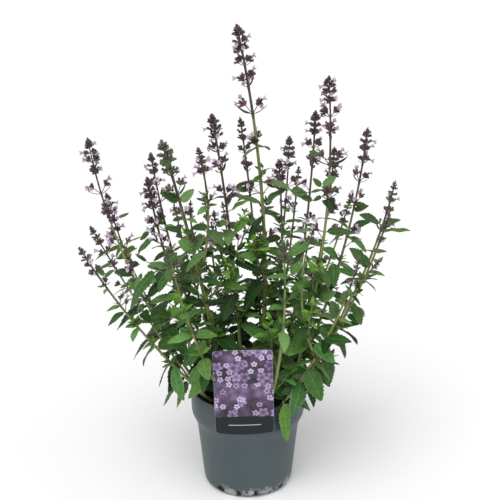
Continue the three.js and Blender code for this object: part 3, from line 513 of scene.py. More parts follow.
# Young tips: length of their leaves, youth, leaf pairs.
YOUNG_TIPS = [
    (FRONT, 238, 228, 244, 213, 7, 0.7, 2), (FRONT, 260, 262, 253, 240, 9, 0.8, 2),
    (FRONT, 232, 272, 228, 262, 8, 0.9, 2), (MIDDLE, 212, 296, 208, 276, 9, 0.9, 2),
    (FRONT, 318, 282, 316, 264, 8, 0.7, 2), (FRONT, 204, 336, 183, 304, 13, 0.6, 3),
    (FRONT, 222, 350, 217, 331, 9, 0.9, 2), (FRONT, 292, 364, 271, 320, 12, 0.85, 3),
    (FRONT, 314, 340, 313, 304, 11, 0.8, 3), (FRONT, 290, 376, 283, 362, 6, 0.9, 1),
    (FRONT, 283, 401, 279, 394, 7, 0.7, 1), (MIDDLE, 345, 312, 344, 303, 7, 0.6, 2),
    (MIDDLE, 284, 245, 287, 236, 8, 0.5, 2), (MIDDLE, 226, 283, 222, 292, 7, 0.3, 2),
    (FRONT, 145, 328, 136, 322, 9, 0.3, 2), (FRONT, 334, 345, 324, 349, 9, 0.5, 2),
]
# Cymes in leaf axils, which end in the middle of their calyces: number of calyces.
AXIL_CYMES = [
    (FRONT, 262, 196, 250, 185, 9), (FRONT, 262, 196, 271, 184, 9), (FRONT, 186, 242, 178, 238, 6),
    (FRONT, 186, 242, 192, 238, 7), (MIDDLE, 166, 232, 147, 229, 8), (MIDDLE, 158, 236, 154, 228, 6),
    (FRONT, 263, 240, 257, 229, 8), (FRONT, 265, 242, 272, 233, 7), (MIDDLE, 236, 250, 242, 236, 6),
    (MIDDLE, 232, 248, 226, 240, 6), (MIDDLE, 290, 212, 285, 202, 7), (MIDDLE, 290, 212, 293, 202, 6),
    (MIDDLE, 306, 236, 304, 227, 7), (FRONT, 322, 240, 316, 227, 8), (MIDDLE, 333, 240, 335, 226, 8),
    (FRONT, 320, 286, 315, 274, 8), (FRONT, 322, 295, 330, 286, 9), (MIDDLE, 243, 285, 240, 276, 5),
    (MIDDLE, 128, 250, 127, 240, 7), (MIDDLE, 118, 236, 116, 226, 6), (FRONT, 136, 290, 131, 280, 6),
    (MIDDLE, 352, 236, 352, 226, 5), (BACK, 206, 232, 204, 222, 5), (FRONT, 222, 206, 226, 190, 6),
    (MIDDLE, 349, 246, 351, 236, 5), (FRONT, 132, 306, 126, 302, 4), (MIDDLE, 333, 212, 333, 205, 9),
    (MIDDLE, 352, 208, 356, 201, 7), (MIDDLE, 344, 222, 341, 214, 5), (MIDDLE, 120, 242, 114, 236, 5),
]

PICTURE_MIDDLE = 250
FOCAL = CAMERA["lens"] / CAMERA["sensor"] * 2 * PICTURE_MIDDLE  # steps
STEP_SIZE = 1.55  # millimetres that one step of the picture spans at the plant
SAMPLE = {"gap": 1.5, "first": 8, "root_clear": 30, "branch_clear": 8}  # points tried along a shoot
LEAF_FROM, CYME_FROM = 14, 8  # the highest point of a shoot that carries a leaf or a cyme
# A piece that starts farther than this from a shoot needs a twig, and a twig flatter than the slope
# counts against that shoot.
TWIG = {"from": 2.5, "slope": 0.45, "weight": 0.8}
NEARLY = {FRONT: 5, MIDDLE: 3, BACK: 3}  # steps behind the best shoot that still fit, by layer
MOST_FITS = 6
ON_STEM = 2.2  # steps; a leaf that starts farther than this from its stem stands on a twig
TWIG_REACH = 8  # millimetres that a twig reaches forward or back at most
FRONT_EDGE = 15  # shoots with a smaller y carry their leaves toward the camera
DEPTHS = (0.3, 0.45, 0.15, -0.1, 0.6, -0.3)  # how far forward a leaf may reach, as a share of its length
KNOWN_DEPTH = (0.02,)  # the same where the depth of the leaf's start is known
ROLLS = np.arange(-80, 81, 4)
OUTWARD = 0.35  # how far a leaf's upper face turns out from the plant's middle
FLAT_WIDTH = 0.485  # width of a blade seen flat, as a share of its length
ROLL_OFF, WRONG_SIDE = 400, 0.6  # degrees of roll that count as one whole width, and cost of a wrong side
SAG_TO_DROOP, LEAST_DROOP, MOST_DROOP = 4.8, -0.3, 0.6
CROWDED = 4  # millimetres between marks that are too near each other
COST = {"width": 20, "crowd": 0.5, "blocked": 50, "depth": 4}
NEAR_STEM = 2 * len(MARKS_ACROSS)  # the marks nearest the stem, which don't count as crowded
YOUNG_TIP = {"front_edge": 20, "forward": -0.35, "back": 0.2, "droop": -0.18}
CYME_FORWARD, CYME_FAN, CYME_SHORTEST = 3, 5, 4


def in_picture(points):
    """Where points fall in the camera's picture: the focal length times their place across the line of
    sight, over their distance along it."""
    tip = math.radians(CAMERA["elevation"])
    x, y, z = np.moveaxis(points - np.array(CAMERA["aim"]), -1, 0)
    depth = CAMERA["distance"] - z * math.sin(tip) + y * math.cos(tip)
    high = z * math.cos(tip) + y * math.sin(tip)
    return PICTURE_MIDDLE + FOCAL * np.stack([x, -high], -1) / column(depth)


def from_picture(place, y):
    """The point with a given y that falls on a place of the picture: in_picture solved for x and z."""
    tip = math.radians(CAMERA["elevation"])
    right, high = place[0] - PICTURE_MIDDLE, PICTURE_MIDDLE - place[1]
    away = CAMERA["distance"] + y * math.cos(tip)
    z = (high * away - FOCAL * y * math.sin(tip)) / (FOCAL * math.cos(tip) + high * math.sin(tip))
    x = right * (away - z * math.sin(tip)) / FOCAL
    return np.array([x, y, z]) + CAMERA["aim"]


def sample_shoots(shoots):
    """Points along every shoot, with their distance below its tip and their place in the picture."""
    samples = []
    for shoot in shoots.values():
        clear = SAMPLE["root_clear"] if shoot.parent is None else SAMPLE["branch_clear"]
        distances = np.arange(SAMPLE["first"], shoot.length - clear, SAMPLE["gap"])
        points = shoot.frame(distances).point
        samples.append((shoot, distances, points, in_picture(points)))
    return samples


def find_carrier(samples, seen, low):
    """The shoot that carries a piece, the distance below its tip, and the steps between the two. A shoot
    fits the better the nearer it passes, and where a twig is needed, the steeper the twig rises. Of the
    shoots that fit nearly as well as the best, the layer picks the first, middle or last from the front."""
    fits = []
    for shoot, distances, points, places in samples:
        keep = distances >= low
        if seen.carrier not in (*NEARLY, shoot.name) or not keep.any():
            continue
        across, down = (np.array(seen.start) - places[keep]).T
        miss = np.hypot(across, down)
        flat = np.maximum(0, TWIG["slope"] * np.abs(across) + down)
        cost = miss + (miss > TWIG["from"]) * TWIG["weight"] * flat
        best = cost.argmin()
        fits.append((cost[best], points[keep][best, 1], shoot, distances[keep][best], miss[best]))
    fits.sort(key=lambda fit: fit[0])
    if seen.carrier not in NEARLY:
        return fits[0][2:]
    near = [fit for fit in fits[:MOST_FITS] if fit[0] < fits[0][0] + NEARLY[seen.carrier]]
    near.sort(key=lambda fit: fit[1])
    return near[{FRONT: 0, MIDDLE: len(near) // 2, BACK: -1}[seen.carrier]][2:]


def leaf_axes(root, tip):
    """Unit vectors along a leaf and square to it: one up and a little out from the plant's middle, and
    one to the side."""
    along = unit(tip - root)
    high = unit(upright(along, np.array([0, 0, 1.0]) + OUTWARD * unit(root * (1, 1, 0))))
    return along, high, np.cross(along, high)


def reaching(root, tip, roll, droop):
    """The place of a leaf from its root to a given tip, turned by the roll about the line between them."""
    along, high, side = leaf_axes(root, tip)
    face = high * math.cos(math.radians(roll)) + side * math.sin(math.radians(roll))
    bend = math.atan(droop)
    direction = along * math.cos(bend) + face * math.sin(bend)
    up = face * math.cos(bend) - along * math.sin(bend)
    long = np.linalg.norm(tip - root) * math.cos(bend)
    return Place(root, direction, up, np.cross(direction, up), long, droop)


def best_roll(root, tip, leaf):
    """The roll that shows the blade as wide as it should look and from its proper side, and how far off
    it stays: the gap between the two widths, plus a little for the roll itself, plus a cost if the
    wrong side shows."""
    along, high, side = leaf_axes(root, tip)
    to_camera = unit(camera_place() - (root + tip) / 2)
    facing = swung(high, side, np.radians(ROLLS)) @ to_camera
    widest = max(np.linalg.norm(upright(along, to_camera)), 0.001)
    wanted = min(1, leaf.width * STEP_SIZE / (FLAT_WIDTH * np.linalg.norm(tip - root)))
    off = np.abs(np.abs(facing) / widest - wanted) + np.abs(ROLLS) / ROLL_OFF
    off = off + WRONG_SIDE * ((facing > 0) != (leaf.side == "upper"))
    return ROLLS[off.argmin()], off.min()


def set_leaf(room, samples, owners, leaf):
    """The place of one single leaf. Of several depths for its tip, it takes the one that lets the blade
    show its width and keeps clear of the others."""
    shoot, drop, miss = find_carrier(samples, leaf, LEAF_FROM)
    stem = shoot.frame(drop).point
    root, depths = stem, DEPTHS
    if leaf.y is not None:
        root, depths = from_picture(leaf.start, leaf.y), KNOWN_DEPTH
    elif miss > ON_STEM:
        forward = min(TWIG_REACH, 0.5 * miss) * (-1 if stem[1] < FRONT_EDGE else 1)
        root = from_picture(leaf.start, stem[1] + forward)
    reach = np.linalg.norm(from_picture(leaf.end, root[1]) - root) * (-1 if root[1] < FRONT_EDGE else 1)
    choices = []
    for share in depths:
        tip = from_picture(leaf.end, root[1] + share * reach)
        roll, off = best_roll(root, tip, leaf)
        droop = min(MOST_DROOP, max(LEAST_DROOP, SAG_TO_DROOP * leaf.sag / np.linalg.norm(tip - root)))
        place = reaching(root, tip, roll, droop)
        marks = leaf_marks(place)
        crowd = room.crowd(owners[shoot.name], marks[NEAR_STEM:], CROWDED)
        cost = COST["width"] * off + COST["crowd"] * crowd + (0 if is_in_reach(marks) else COST["blocked"])
        cost = cost + COST["depth"] * abs(share - DEPTHS[0])
        choices.append((cost, place, marks))
    _, place, marks = min(choices, key=lambda choice: choice[0])
    room.claim(owners[shoot.name], marks, CLEAR_LEAF, True)
    return shoot, drop, (place, None if root is stem else stem, leaf.tone, leaf.youth)


def set_young_tip(samples, young):
    """The place of one young tip. It reaches toward the camera at the front of the plant, and away
    from it at the back."""
    shoot, drop, _ = find_carrier(samples, young, LEAF_FROM)
    root = shoot.frame(drop).point
    reach = np.linalg.norm(from_picture(young.end, root[1]) - root)
    way = YOUNG_TIP["forward" if root[1] < YOUNG_TIP["front_edge"] else "back"]
    place = reaching(root, from_picture(young.end, root[1] + way * reach), 0, YOUNG_TIP["droop"])
    return shoot, drop, (place, young.leaf * STEP_SIZE, young.youth, young.pairs)


def set_cyme(samples, cyme):
    """Where one cyme stands on its stem, and the turn and length of its stalk. Its fan of calyces takes
    the last of the way to the end."""
    shoot, drop, _ = find_carrier(samples, cyme, CYME_FROM)
    at = shoot.frame(drop)
    arm = from_picture(cyme.end, at.point[1] - CYME_FORWARD) - at.point
    turn = math.atan2(arm @ at.side, arm @ at.across)
    stalk = max(CYME_SHORTEST, np.linalg.norm(arm) - CYME_FAN)
    return shoot, drop, (at, turn, stalk, cyme.count)


def rows_of(kind, table):
    """The rows of a table, each with its start and end as pairs."""
    return [kind(row[0], row[1:3], row[3:5], *row[5:]) for row in table]


def set_pieces(shoots, owners, room):
    """Single leaves, young tips and axil cymes of every shoot, each list from the shoot's tip down."""
    samples = sample_shoots(shoots)
    leaves = [set_leaf(room, samples, owners, leaf) for leaf in rows_of(Leaf, SINGLE_LEAVES)]
    tips = [set_young_tip(samples, young) for young in rows_of(Young, YOUNG_TIPS)]
    cymes = [set_cyme(samples, cyme) for cyme in rows_of(Cyme, AXIL_CYMES)]
    pieces = {name: [] for name in shoots}
    for kind in (leaves, tips, cymes):
        for name in shoots:
            own = sorted((piece[1:] for piece in kind if piece[0].name == name), key=lambda piece: piece[0])
            pieces[name].append([piece for _, piece in own])
    return pieces


# ---- closed rings into meshes


class Bunch:
    """Closed shapes gathered for one object. Each is a stack of rings, anticlockwise seen from its
    tip, with one flat face over each end. lay says where a point lies on its own shape, and kind
    holds the shape's tone, its youth or ripeness, and a second tone."""

    def __init__(self):
        self.points, self.lay, self.kind = [], [], []
        self.corners, self.sizes, self.finish = [], [], []
        self.count = 0

    def add(self, rows, lay, kind, finish, ends=(True, True)):
        """Adds one shape, or several alike, as rows of (shape,) ring, place round the ring, point. Each
        wall face joins two neighbours of a ring to those of the next ring."""
        rows = rows[None] if rows.ndim == 3 else rows
        shapes, length, ring = rows.shape[:3]
        number = self.count + np.arange(shapes * length * ring).reshape(shapes, length, ring)
        self.count = number.max() + 1
        after = np.roll(number, -1, axis=2)
        walls = np.stack([number[:, :-1], after[:, :-1], after[:, 1:], number[:, 1:]], -1)
        faces = [(walls.reshape(-1), walls.size // 4, 4)]
        if ends[0]:
            faces.append((number[:, 0, ::-1].reshape(-1), shapes, ring))
        if ends[1]:
            faces.append((number[:, -1].reshape(-1), shapes, ring))
        for corners, faces_here, size in faces:
            self.corners.append(corners)
            self.sizes.append(np.full(faces_here, size))
            self.finish.append(np.full(faces_here, finish))
        self.points.append(rows.reshape(-1, 3))
        self.lay.append(np.broadcast_to(lay, rows.shape).reshape(-1, 3))
        self.kind.append(np.broadcast_to(kind, rows.shape).reshape(-1, 3))

    def make(self, name, finishes, node, slot, crease=70, weld=False):
        """One object from all the shapes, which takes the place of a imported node."""
        points, corners = np.concatenate(self.points) * MM, np.concatenate(self.corners)
        lay, kind = np.concatenate(self.lay), np.concatenate(self.kind)
        if weld:
            _, first, same = np.unique(np.round(points, 6), axis=0, return_index=True, return_inverse=True)
            points, lay, kind, corners = points[first], lay[first], kind[first], same.reshape(-1)[corners]
        sizes = np.concatenate(self.sizes)
        mesh = bpy.data.meshes.new(name)
        mesh.vertices.add(len(points))
        mesh.vertices.foreach_set("co", points.ravel())
        mesh.loops.add(len(corners))
        mesh.loops.foreach_set("vertex_index", corners.astype(np.int32))
        mesh.polygons.add(len(sizes))
        mesh.polygons.foreach_set("loop_start", (np.cumsum(sizes) - sizes).astype(np.int32))
        mesh.polygons.foreach_set("material_index", np.concatenate(self.finish).astype(np.int32))
        mesh.polygons.foreach_set("use_smooth", np.ones(len(sizes), bool))
        mesh.update(calc_edges=True)
        mesh.validate()
        for label, values in (("lay", lay), ("kind", kind)):
            attribute = mesh.attributes.new(label, "FLOAT_VECTOR", "POINT")
            attribute.data.foreach_set("vector", values.astype(np.float32).ravel())
        mesh.set_sharp_from_angle(angle=math.radians(crease))
        for finish in finishes:
            mesh.materials.append(finish)
        piece = bpy.data.objects.new(name, mesh)
        bpy.context.collection.objects.link(piece)
        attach(piece, "root")
        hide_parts(node)
        return piece


def turned(profile, ring, ripple=0.0):
    """A profile of (along, radius) turned about its axis: along, radius times cosine, radius times
    sine. Ripple makes every other line of the surface stand out by that share of the radius, and the
    lines between them sink in as much."""
    along, radius = np.array(profile, float).T
    angle = TAU * np.arange(ring) / ring
    wave = 1 + ripple * np.cos(np.arange(ring) * math.pi)
    r = radius[:, None] * wave
    flat = np.broadcast_to(along[:, None], r.shape)
    return np.stack([flat, r * np.cos(angle), r * np.sin(angle)], -1)


def placed(form, origin, direction, up, long, wide):
    """Copies of a form: origin, plus along times direction times length, plus its two cross
    coordinates times up and across times width."""
    across = np.cross(direction, up)
    axes = np.stack([direction * column(long), up * column(wide), across * column(wide)], 1)
    return origin[:, None, None] + np.einsum("rjk,nkd->nrjd", form, axes)


def tube(path, up, radius, ring=6):
    """A round section carried along a path of points: point plus radius times (up times cosine plus
    across times sine)."""
    direction = unit(np.gradient(path, axis=0))
    up = upright(direction, np.broadcast_to(up, direction.shape))
    across = np.cross(direction, up)
    out = swung(up[:, None], across[:, None], TAU * np.arange(ring) / ring)
    return path[:, None] + out * np.reshape(radius, (-1, 1, 1))


# ---- leaves and stems

STEM_FINISH, LEAF_FINISH, CALYX_FINISH, PETAL_FINISH = range(4)  # order of the finishes on a plant piece
STALK = 0.09  # length of a leaf's stalk, as a share of the leaf's length
LEAF_WIDTH = 0.24  # half width of a blade before its teeth, as a share of its length
BROAD, NARROW = np.array([-1, -0.5, 0, 0.5, 1]), np.array([-1, 0, 1])  # places across a blade
WIDEST = 0.375  # place along the blade where it is widest
TIP_END = 0.992  # place of the last ring, short of the point
SCALLOP, SCALLOP_DEPTH = 0.86, 0.2
STALK_R, RIB_R = 0.35, 0.012  # half width of a stalk: its least, and what it gains with the leaf's length
THINNEST = 0.12
BLADE_THICK, STALK_THICK = 0.26, 0.75  # half thickness of a blade in millimetres, and of a stalk as a share
RIPPLES = 1.7  # waves of the edge along a leaf
VEIN_SLANT, QUILT = 0.2, 0.22
RIB_WIDE, ROLL_DONE = 0.16, 0.16  # shares of the half width and of the length


def leaf_rows(place, teeth, columns, width, chance):
    """A blade on a stalk. Its half width is the length times t^0.45 (1-t)^0.75, scalloped by the
    size of sin(pi teeth t). The blade arches by droop times share squared, its halves rise from the
    midrib, turn down at the edge and ripple, and swell between slanting side veins. The whole blade
    is rolled about its midrib, more toward the tip."""
    sway, roll, twist, curl, wave, phase = chance
    t = np.arange(1, teeth * 2 + 1) / (teeth * 2)
    t[-1] = TIP_END
    share = np.concatenate([[0, 0.5 * STALK, STALK], STALK + (1 - STALK) * t])
    blade = (t / WIDEST) ** 0.45 * ((1 - t) / (1 - WIDEST)) ** 0.75
    scallop = SCALLOP + SCALLOP_DEPTH * np.abs(np.sin(math.pi * teeth * t))
    stalk = STALK_R + RIB_R * place.long
    half = np.append(np.full(3, stalk), np.maximum(width * place.long * blade * scallop, THINNEST))
    t = np.append(np.zeros(3), t)
    ring = np.append(columns, columns[-2:0:-1])
    under = np.append(np.zeros(len(columns)), np.ones(len(columns) - 2))
    v, u = np.meshgrid(ring, share)
    half, t = half[:, None], t[:, None]
    size = np.abs(v)
    blade_part = (t > 0) * np.minimum(1, t * 6)
    rise = FOLD * size * half - curl * half * size**3
    rise = rise + wave * half * v * v * np.sin(TAU * RIPPLES * u + phase + 2.2 * np.sign(v))
    quilt = np.abs(np.sin(math.pi * teeth * (t - VEIN_SLANT * size)))
    rise = (rise + QUILT * half * quilt * size * (1 - size)) * blade_part
    round_off = np.sqrt(np.maximum(0, 1 - size**2)) ** 0.7
    body = np.where(t > 0, BLADE_THICK, STALK_THICK * stalk) * round_off
    rib = RIB_R * place.long * np.exp(-((v / RIB_WIDE) ** 2)) * (1 - u) * (t > 0)
    lift = np.where(under > 0, rise - body - rib, rise + body)
    angle = roll * np.minimum(1, u / ROLL_DONE) + twist * u
    wide, high = swung(place.across, place.up, angle), swung(place.up, -place.across, angle)
    middle = (
        place.root
        + place.direction * column(place.long * u)
        - place.up * column(place.droop * place.long * u * u)
        + place.across * column(sway * place.long * u * u)
    )
    rows = middle + wide * column(v * half) + high * column(lift)
    side = np.where(size == 1, 0.5, under) + 0 * u
    lay = np.stack([teeth * t + 0 * u, np.where(t > 0, v, 0.02 * v), side], -1)
    return rows, lay


def leaf_chance(rng, calm=1.0):
    """Random sway, roll, twist, curl, wave and phase of one blade. Calm blades sway, roll and twist
    less."""
    return (
        rng.uniform(-0.07, 0.07) * calm,
        rng.uniform(-0.45, 0.45) * calm,
        rng.uniform(-0.5, 0.5) * calm,
        rng.uniform(0.05, 0.4),
        rng.uniform(0.02, 0.12),
        rng.uniform(0, TAU),
    )


CROWN = {"r": 76, "z": 150, "flare": 0.22}  # radius of the crown, and how it widens with the height
HEART, EDGE = 0.3, 1.05  # shares of the crown's radius


# Leaves take their painted shade from this: the nearer the heart of the plant, the darker their tone.
def openness_at(point):
    """0 in the heart of the plant, 1 at its outside: the distance from the pot's axis as a share of
    the crown's radius there, as a smooth step."""
    share = math.hypot(point[0], point[1]) / (CROWN["r"] + CROWN["flare"] * (point[2] - CROWN["z"]))
    share = min(1, max(0, (share - HEART) / (EDGE - HEART)))
    return share * share * (3 - 2 * share)


# Number of teeth on each side of a blade longer than this.
TEETH = ((38, 10), (24, 8), (14, 5), (0, 3))
BROAD_FROM = 13  # shorter blades have fewer places across
# A leaf's tone, which paints shade on leaves in the heart of the plant and low down: its least, what it
# gains at the plant's outside, the range of its random share, the share that a leaf below the shaded height
# keeps as painted shade, and the power that sets dark leaves apart.
TONE_AND_SHADE = {"least": 0.66, "open": 0.32, "random": (0.02, 1.12), "shaded": 0.66, "below": 205, "power": 1.2}
# Leaves that grow lower than the even height are a deeper, cooler green, and higher ones are greyer.
EVEN_HUE, HUE_SPAN = 335, 380


def add_leaf(bunch, place, youth, rng, width=LEAF_WIDTH, tone=None, calm=1.0):
    """One blade with its own chances, tone and hue. Where no tone is given, the tone is painted shade,
    darker toward the plant's heart and below the shaded height, times a random share.
    """
    teeth = next(count for longer, count in TEETH if place.long > longer)
    columns = BROAD if place.long > BROAD_FROM else NARROW
    rows, lay = leaf_rows(place, teeth, columns, width, leaf_chance(rng, calm))
    # Painted shade: a leaf nearer the plant's heart or below the shaded height gets a darker tone.
    if tone is None:
        tone = TONE_AND_SHADE["least"] + TONE_AND_SHADE["open"] * openness_at(place.root + place.direction * place.long * 0.6)
        shaded = TONE_AND_SHADE["shaded"] if place.root[2] < TONE_AND_SHADE["below"] else 1
        tone = (tone * rng.uniform(*TONE_AND_SHADE["random"]) * shaded) ** TONE_AND_SHADE["power"]
    hue = np.clip(rng.random() + (place.root[2] - EVEN_HUE) / HUE_SPAN, 0, 1)
    bunch.add(rows, lay, (tone, youth, hue), LEAF_FINISH)


NODE_LONG, NODE_SWELL = 2.4, 0.2
LOWER_GAIN, GAIN_OVER = 0.3, 60  # a stem gains this much radius over this distance from its tip
SQUARE = 0.11
STEM_RING_GAP = 5
PURPLE_TO, PURPLE_OVER = 185, 170  # distances below the tip


def stem_rows(shoot, distances):
    """A square stem with rounded corners: radius times 0.89 + 0.11 cos(4 angle), swollen by a fifth
    at each node."""
    at = shoot.frame(distances)
    nodes = np.array([shoot.node_drop(k) for k in range(len(shoot.drops))])
    swell = np.exp(-(((distances[:, None] - nodes) / NODE_LONG) ** 2)).sum(1)
    stout = shoot.radius(distances) * STOUT_STEMS.get(shoot.name, USUAL_STOUT)
    radius = (stout + LOWER_GAIN * np.clip(distances / GAIN_OVER, 0, 1)) * (1 + NODE_SWELL * swell)
    turn = np.arange(8) * TAU / 8
    r = radius[:, None] * (1 - SQUARE + SQUARE * np.cos(4 * turn))
    out = swung(at.across[:, None], at.side[:, None], shoot.turn + turn)
    rows = at.point[:, None] + out * column(r)
    lay = np.stack(np.broadcast_arrays(distances[:, None] / 100, turn / TAU, 0.0), -1)
    return rows, lay


def add_stem(bunch, shoot, low, high, purple, tone):
    """The stem between two distances below the tip, ripening from green-brown to purple upward."""
    distances = np.linspace(low, high, max(4, int(abs(low - high) / STEM_RING_GAP)))
    rows, lay = stem_rows(shoot, distances)
    ripe = np.clip(purple + (PURPLE_TO - distances) / PURPLE_OVER, 0, 1)
    kind = np.stack(np.broadcast_arrays(tone, ripe, 0.5), -1)[:, None]
    bunch.add(rows, lay, kind, STEM_FINISH)


def add_thread(bunch, path, up, radius, tone, ripe=0.1):
    """A five-sided stalk or twig along a path."""
    bunch.add(tube(path, up, radius, 5), (0.3, 0, 0), (tone, ripe, 0.5), STEM_FINISH)


SPRIG = {"first": 12, "step": 5, "longest": 44, "bend": 0.18, "ease": 0.32}
MIDRIB_MARKS = np.arange(5) * 2 * len(MARKS_ACROSS) + len(MARKS_ACROSS) // 2  # every other mark
# Leaf pairs of a side shoot, short, middling or long: place along it, share of full size, tilt.
SPRIG_LEVELS = [
    [(0.7, 1, 55), (1, 0.7, 28)],
    [(0.42, 1, 62), (0.72, 0.85, 48), (1, 0.62, 28)],
    [(0.26, 0.85, 68), (0.5, 1, 62), (0.76, 0.85, 50), (1, 0.6, 26)],
]


def add_sprig(bunch, room, owner, place, levels, size, youth, rng, ease=SPRIG["ease"]):
    """A side shoot: a thin stalk that bends up, point plus direction times length times share plus up
    times 0.18 length times share squared, with opposite pairs of small leaves, each pair turned a
    quarter from the last. A shoot whose stalk or leaves would find no room is left out."""
    share = np.linspace(0, 1, 5)
    rise = place.up * SPRIG["bend"] * place.long
    path = place.root + place.direction * column(place.long * share) + rise * column(share**2)
    mottle, blades = rng.random(), 0
    stalk_is_free = is_in_reach(path[2:])
    forward = unit(path[-1] - path[-2])
    ring = Frame(None, forward, place.across, np.cross(forward, place.across))
    for i, (where, big, lean) in enumerate(levels):
        point = place.root + place.direction * place.long * where + rise * where**2
        for side in (0, 1):
            angle = (i % 2) * QUARTER + side * math.pi + rng.uniform(-0.25, 0.25)
            tilt = math.radians(lean + rng.uniform(-10, 14))
            long = size * big * rng.uniform(0.85, 1.1)
            blade = place_on(ring._replace(point=point), unit(outward(ring, angle)), tilt, long, 0.12)
            marks = leaf_marks(blade)[MIDRIB_MARKS]
            if stalk_is_free and is_in_reach(marks) and room.is_clear(owner, marks, blade.long, ease):
                room.claim(owner, marks, CLEAR_LEAF, True)
                add_leaf(bunch, blade, min(1, youth + 0.12 * i), rng, LEAF_WIDTH * 0.92)
                blades += 1
    if blades:
        add_thread(bunch, path, place.across, np.linspace(0.85, 0.5, 5), mottle)


# ---- flower spikes

# Tiers of the head: distance below the tip, calyces in each half, tilt, length, radius, distance
# from the axis, and the chance that a flower is open in a half.
TIERS = [
    (1, 2, 12, 4.2, 1.1, 0.2, 0),
    (4, 3, 31, 5.2, 1.3, 0.7, 0),
    (7.6, 3, 43, 6.1, 1.4, 1.2, 0),
    (12, 4, 51, 7, 1.48, 1.8, 0.3),
    (20.5, 5, 60, 8, 1.58, 3, 1),
]
HALF_FAN = 56  # degrees from the middle of a tier's half to its sides
CALYX_RING = 10
FLOWER = {"size": 1.26, "seat": 0.55, "out": 0.42}  # the seat is a share of the calyx's length


def calyx_form():
    """A ribbed tube that swells and ends in five teeth round a hollow mouth, one unit long."""
    form = turned([(0, 0.32), (0.25, 0.92), (0.76, 1.0), (0.9, 1.12), (0.62, 0.45)], CALYX_RING, 0.07)
    tooth = np.arange(CALYX_RING) % 2 == 0
    form[3, :, 0] += np.where(tooth, 0.14, -0.08)
    form[3, :, 1:] *= np.where(tooth, 1.12, 0.96)[:, None]
    return form


def bud_form():
    """A closed bud: a spindle one unit long."""
    return turned([(0, 0.35), (0.32, 1.0), (0.68, 0.86), (1, 0.14)], 6)


def flower_form():
    """A two-lipped flower: a tube one unit wide at its throat, then a flared limb. The limb reaches
    out by 1.9, plus 2.0 at the bottom for the lower lip, 0.9 at each side and 0.8 at two places near
    the top, and the upper lip stands forward by 2, each fading as a bell curve of the angle."""
    ring = 10
    angle = TAU * np.arange(ring) / ring
    off = np.abs((angle + math.pi) % TAU - math.pi)
    lower = np.exp(-(((off - math.pi) / 0.62) ** 2))
    sides = np.exp(-(((off - 1.72) / 0.36) ** 2))
    upper = np.exp(-(((off - 0.63) / 0.4) ** 2))
    reach = 1.9 + 2.0 * lower + 0.9 * sides + 0.8 * upper
    rim = 6.0 + 2.0 * upper + 0.9 * lower + 0.2 * sides
    level = 0 * angle
    rings = [
        (level, 0.5 + level), (3.2 + level, 0.85 + level), (5.0 + level, 1.65 + level), (rim, reach),
        (5.4 + 1.3 * upper + 0.5 * lower, 0.6 * reach), (4.0 + level, 0.6 + level),
    ]
    return np.stack([np.stack([along, r * np.cos(angle), r * np.sin(angle)], -1) for along, r in rings])


CALYX_FORM, BUD_FORM, FLOWER_FORM = calyx_form(), bud_form(), flower_form()


def add_organs(bunch, form, origin, direction, forward, long, wide, ripe, finish, rng):
    """Copies of a calyx, bud or flower that lean from the stem, each with its own tone."""
    if len(origin) == 0:
        return
    rows = placed(form, origin, direction, upright(direction, forward), long, wide)
    along = form[..., 0] / form[..., 0].max()
    lay = np.stack([along, form[..., 1], form[..., 2]], -1)[None]
    tone = rng.random((len(origin), 2))
    kind = np.stack([tone[:, 0], np.broadcast_to(ripe, tone[:, 0].shape), tone[:, 1]], -1)
    bunch.add(rows, lay, kind[:, None, None], finish)


def add_flowers(bunch, origin, direction, forward, long, opened, ripe, rng):
    """Flowers in the calyces that are open. They stand out from the stem more than those calyces."""
    tip = origin + direction * column(long * FLOWER["seat"])
    tip, direction, forward = tip[opened], direction[opened], forward[opened]
    direction = unit(direction - FLOWER["out"] * forward)
    big = FLOWER["size"] * rng.uniform(0.85, 1.12, len(tip))
    add_organs(bunch, FLOWER_FORM, tip, direction, forward, big, big, ripe, PETAL_FINISH, rng)


def add_head(bunch, shoot, vigour, rng):
    """The head: tiers of two opposite fans, each tier turned a quarter from the last, with closed buds
    at the top and open flowers in the lower ones."""
    size, openness, ripe = vigour
    scale = shoot.scale * (0.5 + 0.5 * size)
    for level, (drop, count, tilt, long, radius, off, open_share) in enumerate(TIERS):
        count = max(2, round(count * (0.45 + 0.55 * size)))
        at = shoot.frame((drop + rng.uniform(-1.0, 1.0, 2 * count) * (level > 0)) * shoot.scale)
        fan = np.linspace(-HALF_FAN, HALF_FAN, count)
        angle = np.radians(np.concatenate([fan, fan + 180]) + rng.uniform(-10, 10, 2 * count))
        out = outward(at, shoot.turn + (0.5 + level % 2) * QUARTER + angle)
        lean = tilt + 9 * (-1.0) ** np.arange(2 * count) + rng.uniform(-8, 8, 2 * count)
        direction = leaning(at, out, np.radians(lean))
        origin = at.point + out * off * shoot.scale * size
        long = long * scale * rng.uniform(0.88, 1.12, 2 * count)
        wide = np.full(2 * count, radius * scale)
        form = BUD_FORM if level < 2 else CALYX_FORM
        add_organs(bunch, form, origin, direction, at.forward, long, wide, ripe, CALYX_FINISH, rng)
        opened = np.zeros(2 * count, bool)
        opened[rng.integers(0, count, 2) + (0, count)] = rng.random(2) < open_share * openness
        add_flowers(bunch, origin, direction, at.forward, long, opened, ripe, rng)


# Calyces of one half of a whorl: turn from its middle, tilt from the stem, and share of full length.
FAN = [
    (-34, 34, 1), (40, 44, 1.05), (4, 60, 1), (-8, 10, 0.9), (30, 16, 0.92), (-72, 56, 0.92),
    (76, 62, 0.88), (-32, 78, 0.95), (26, 88, 0.9), (-100, 34, 0.8), (104, 30, 0.8),
]
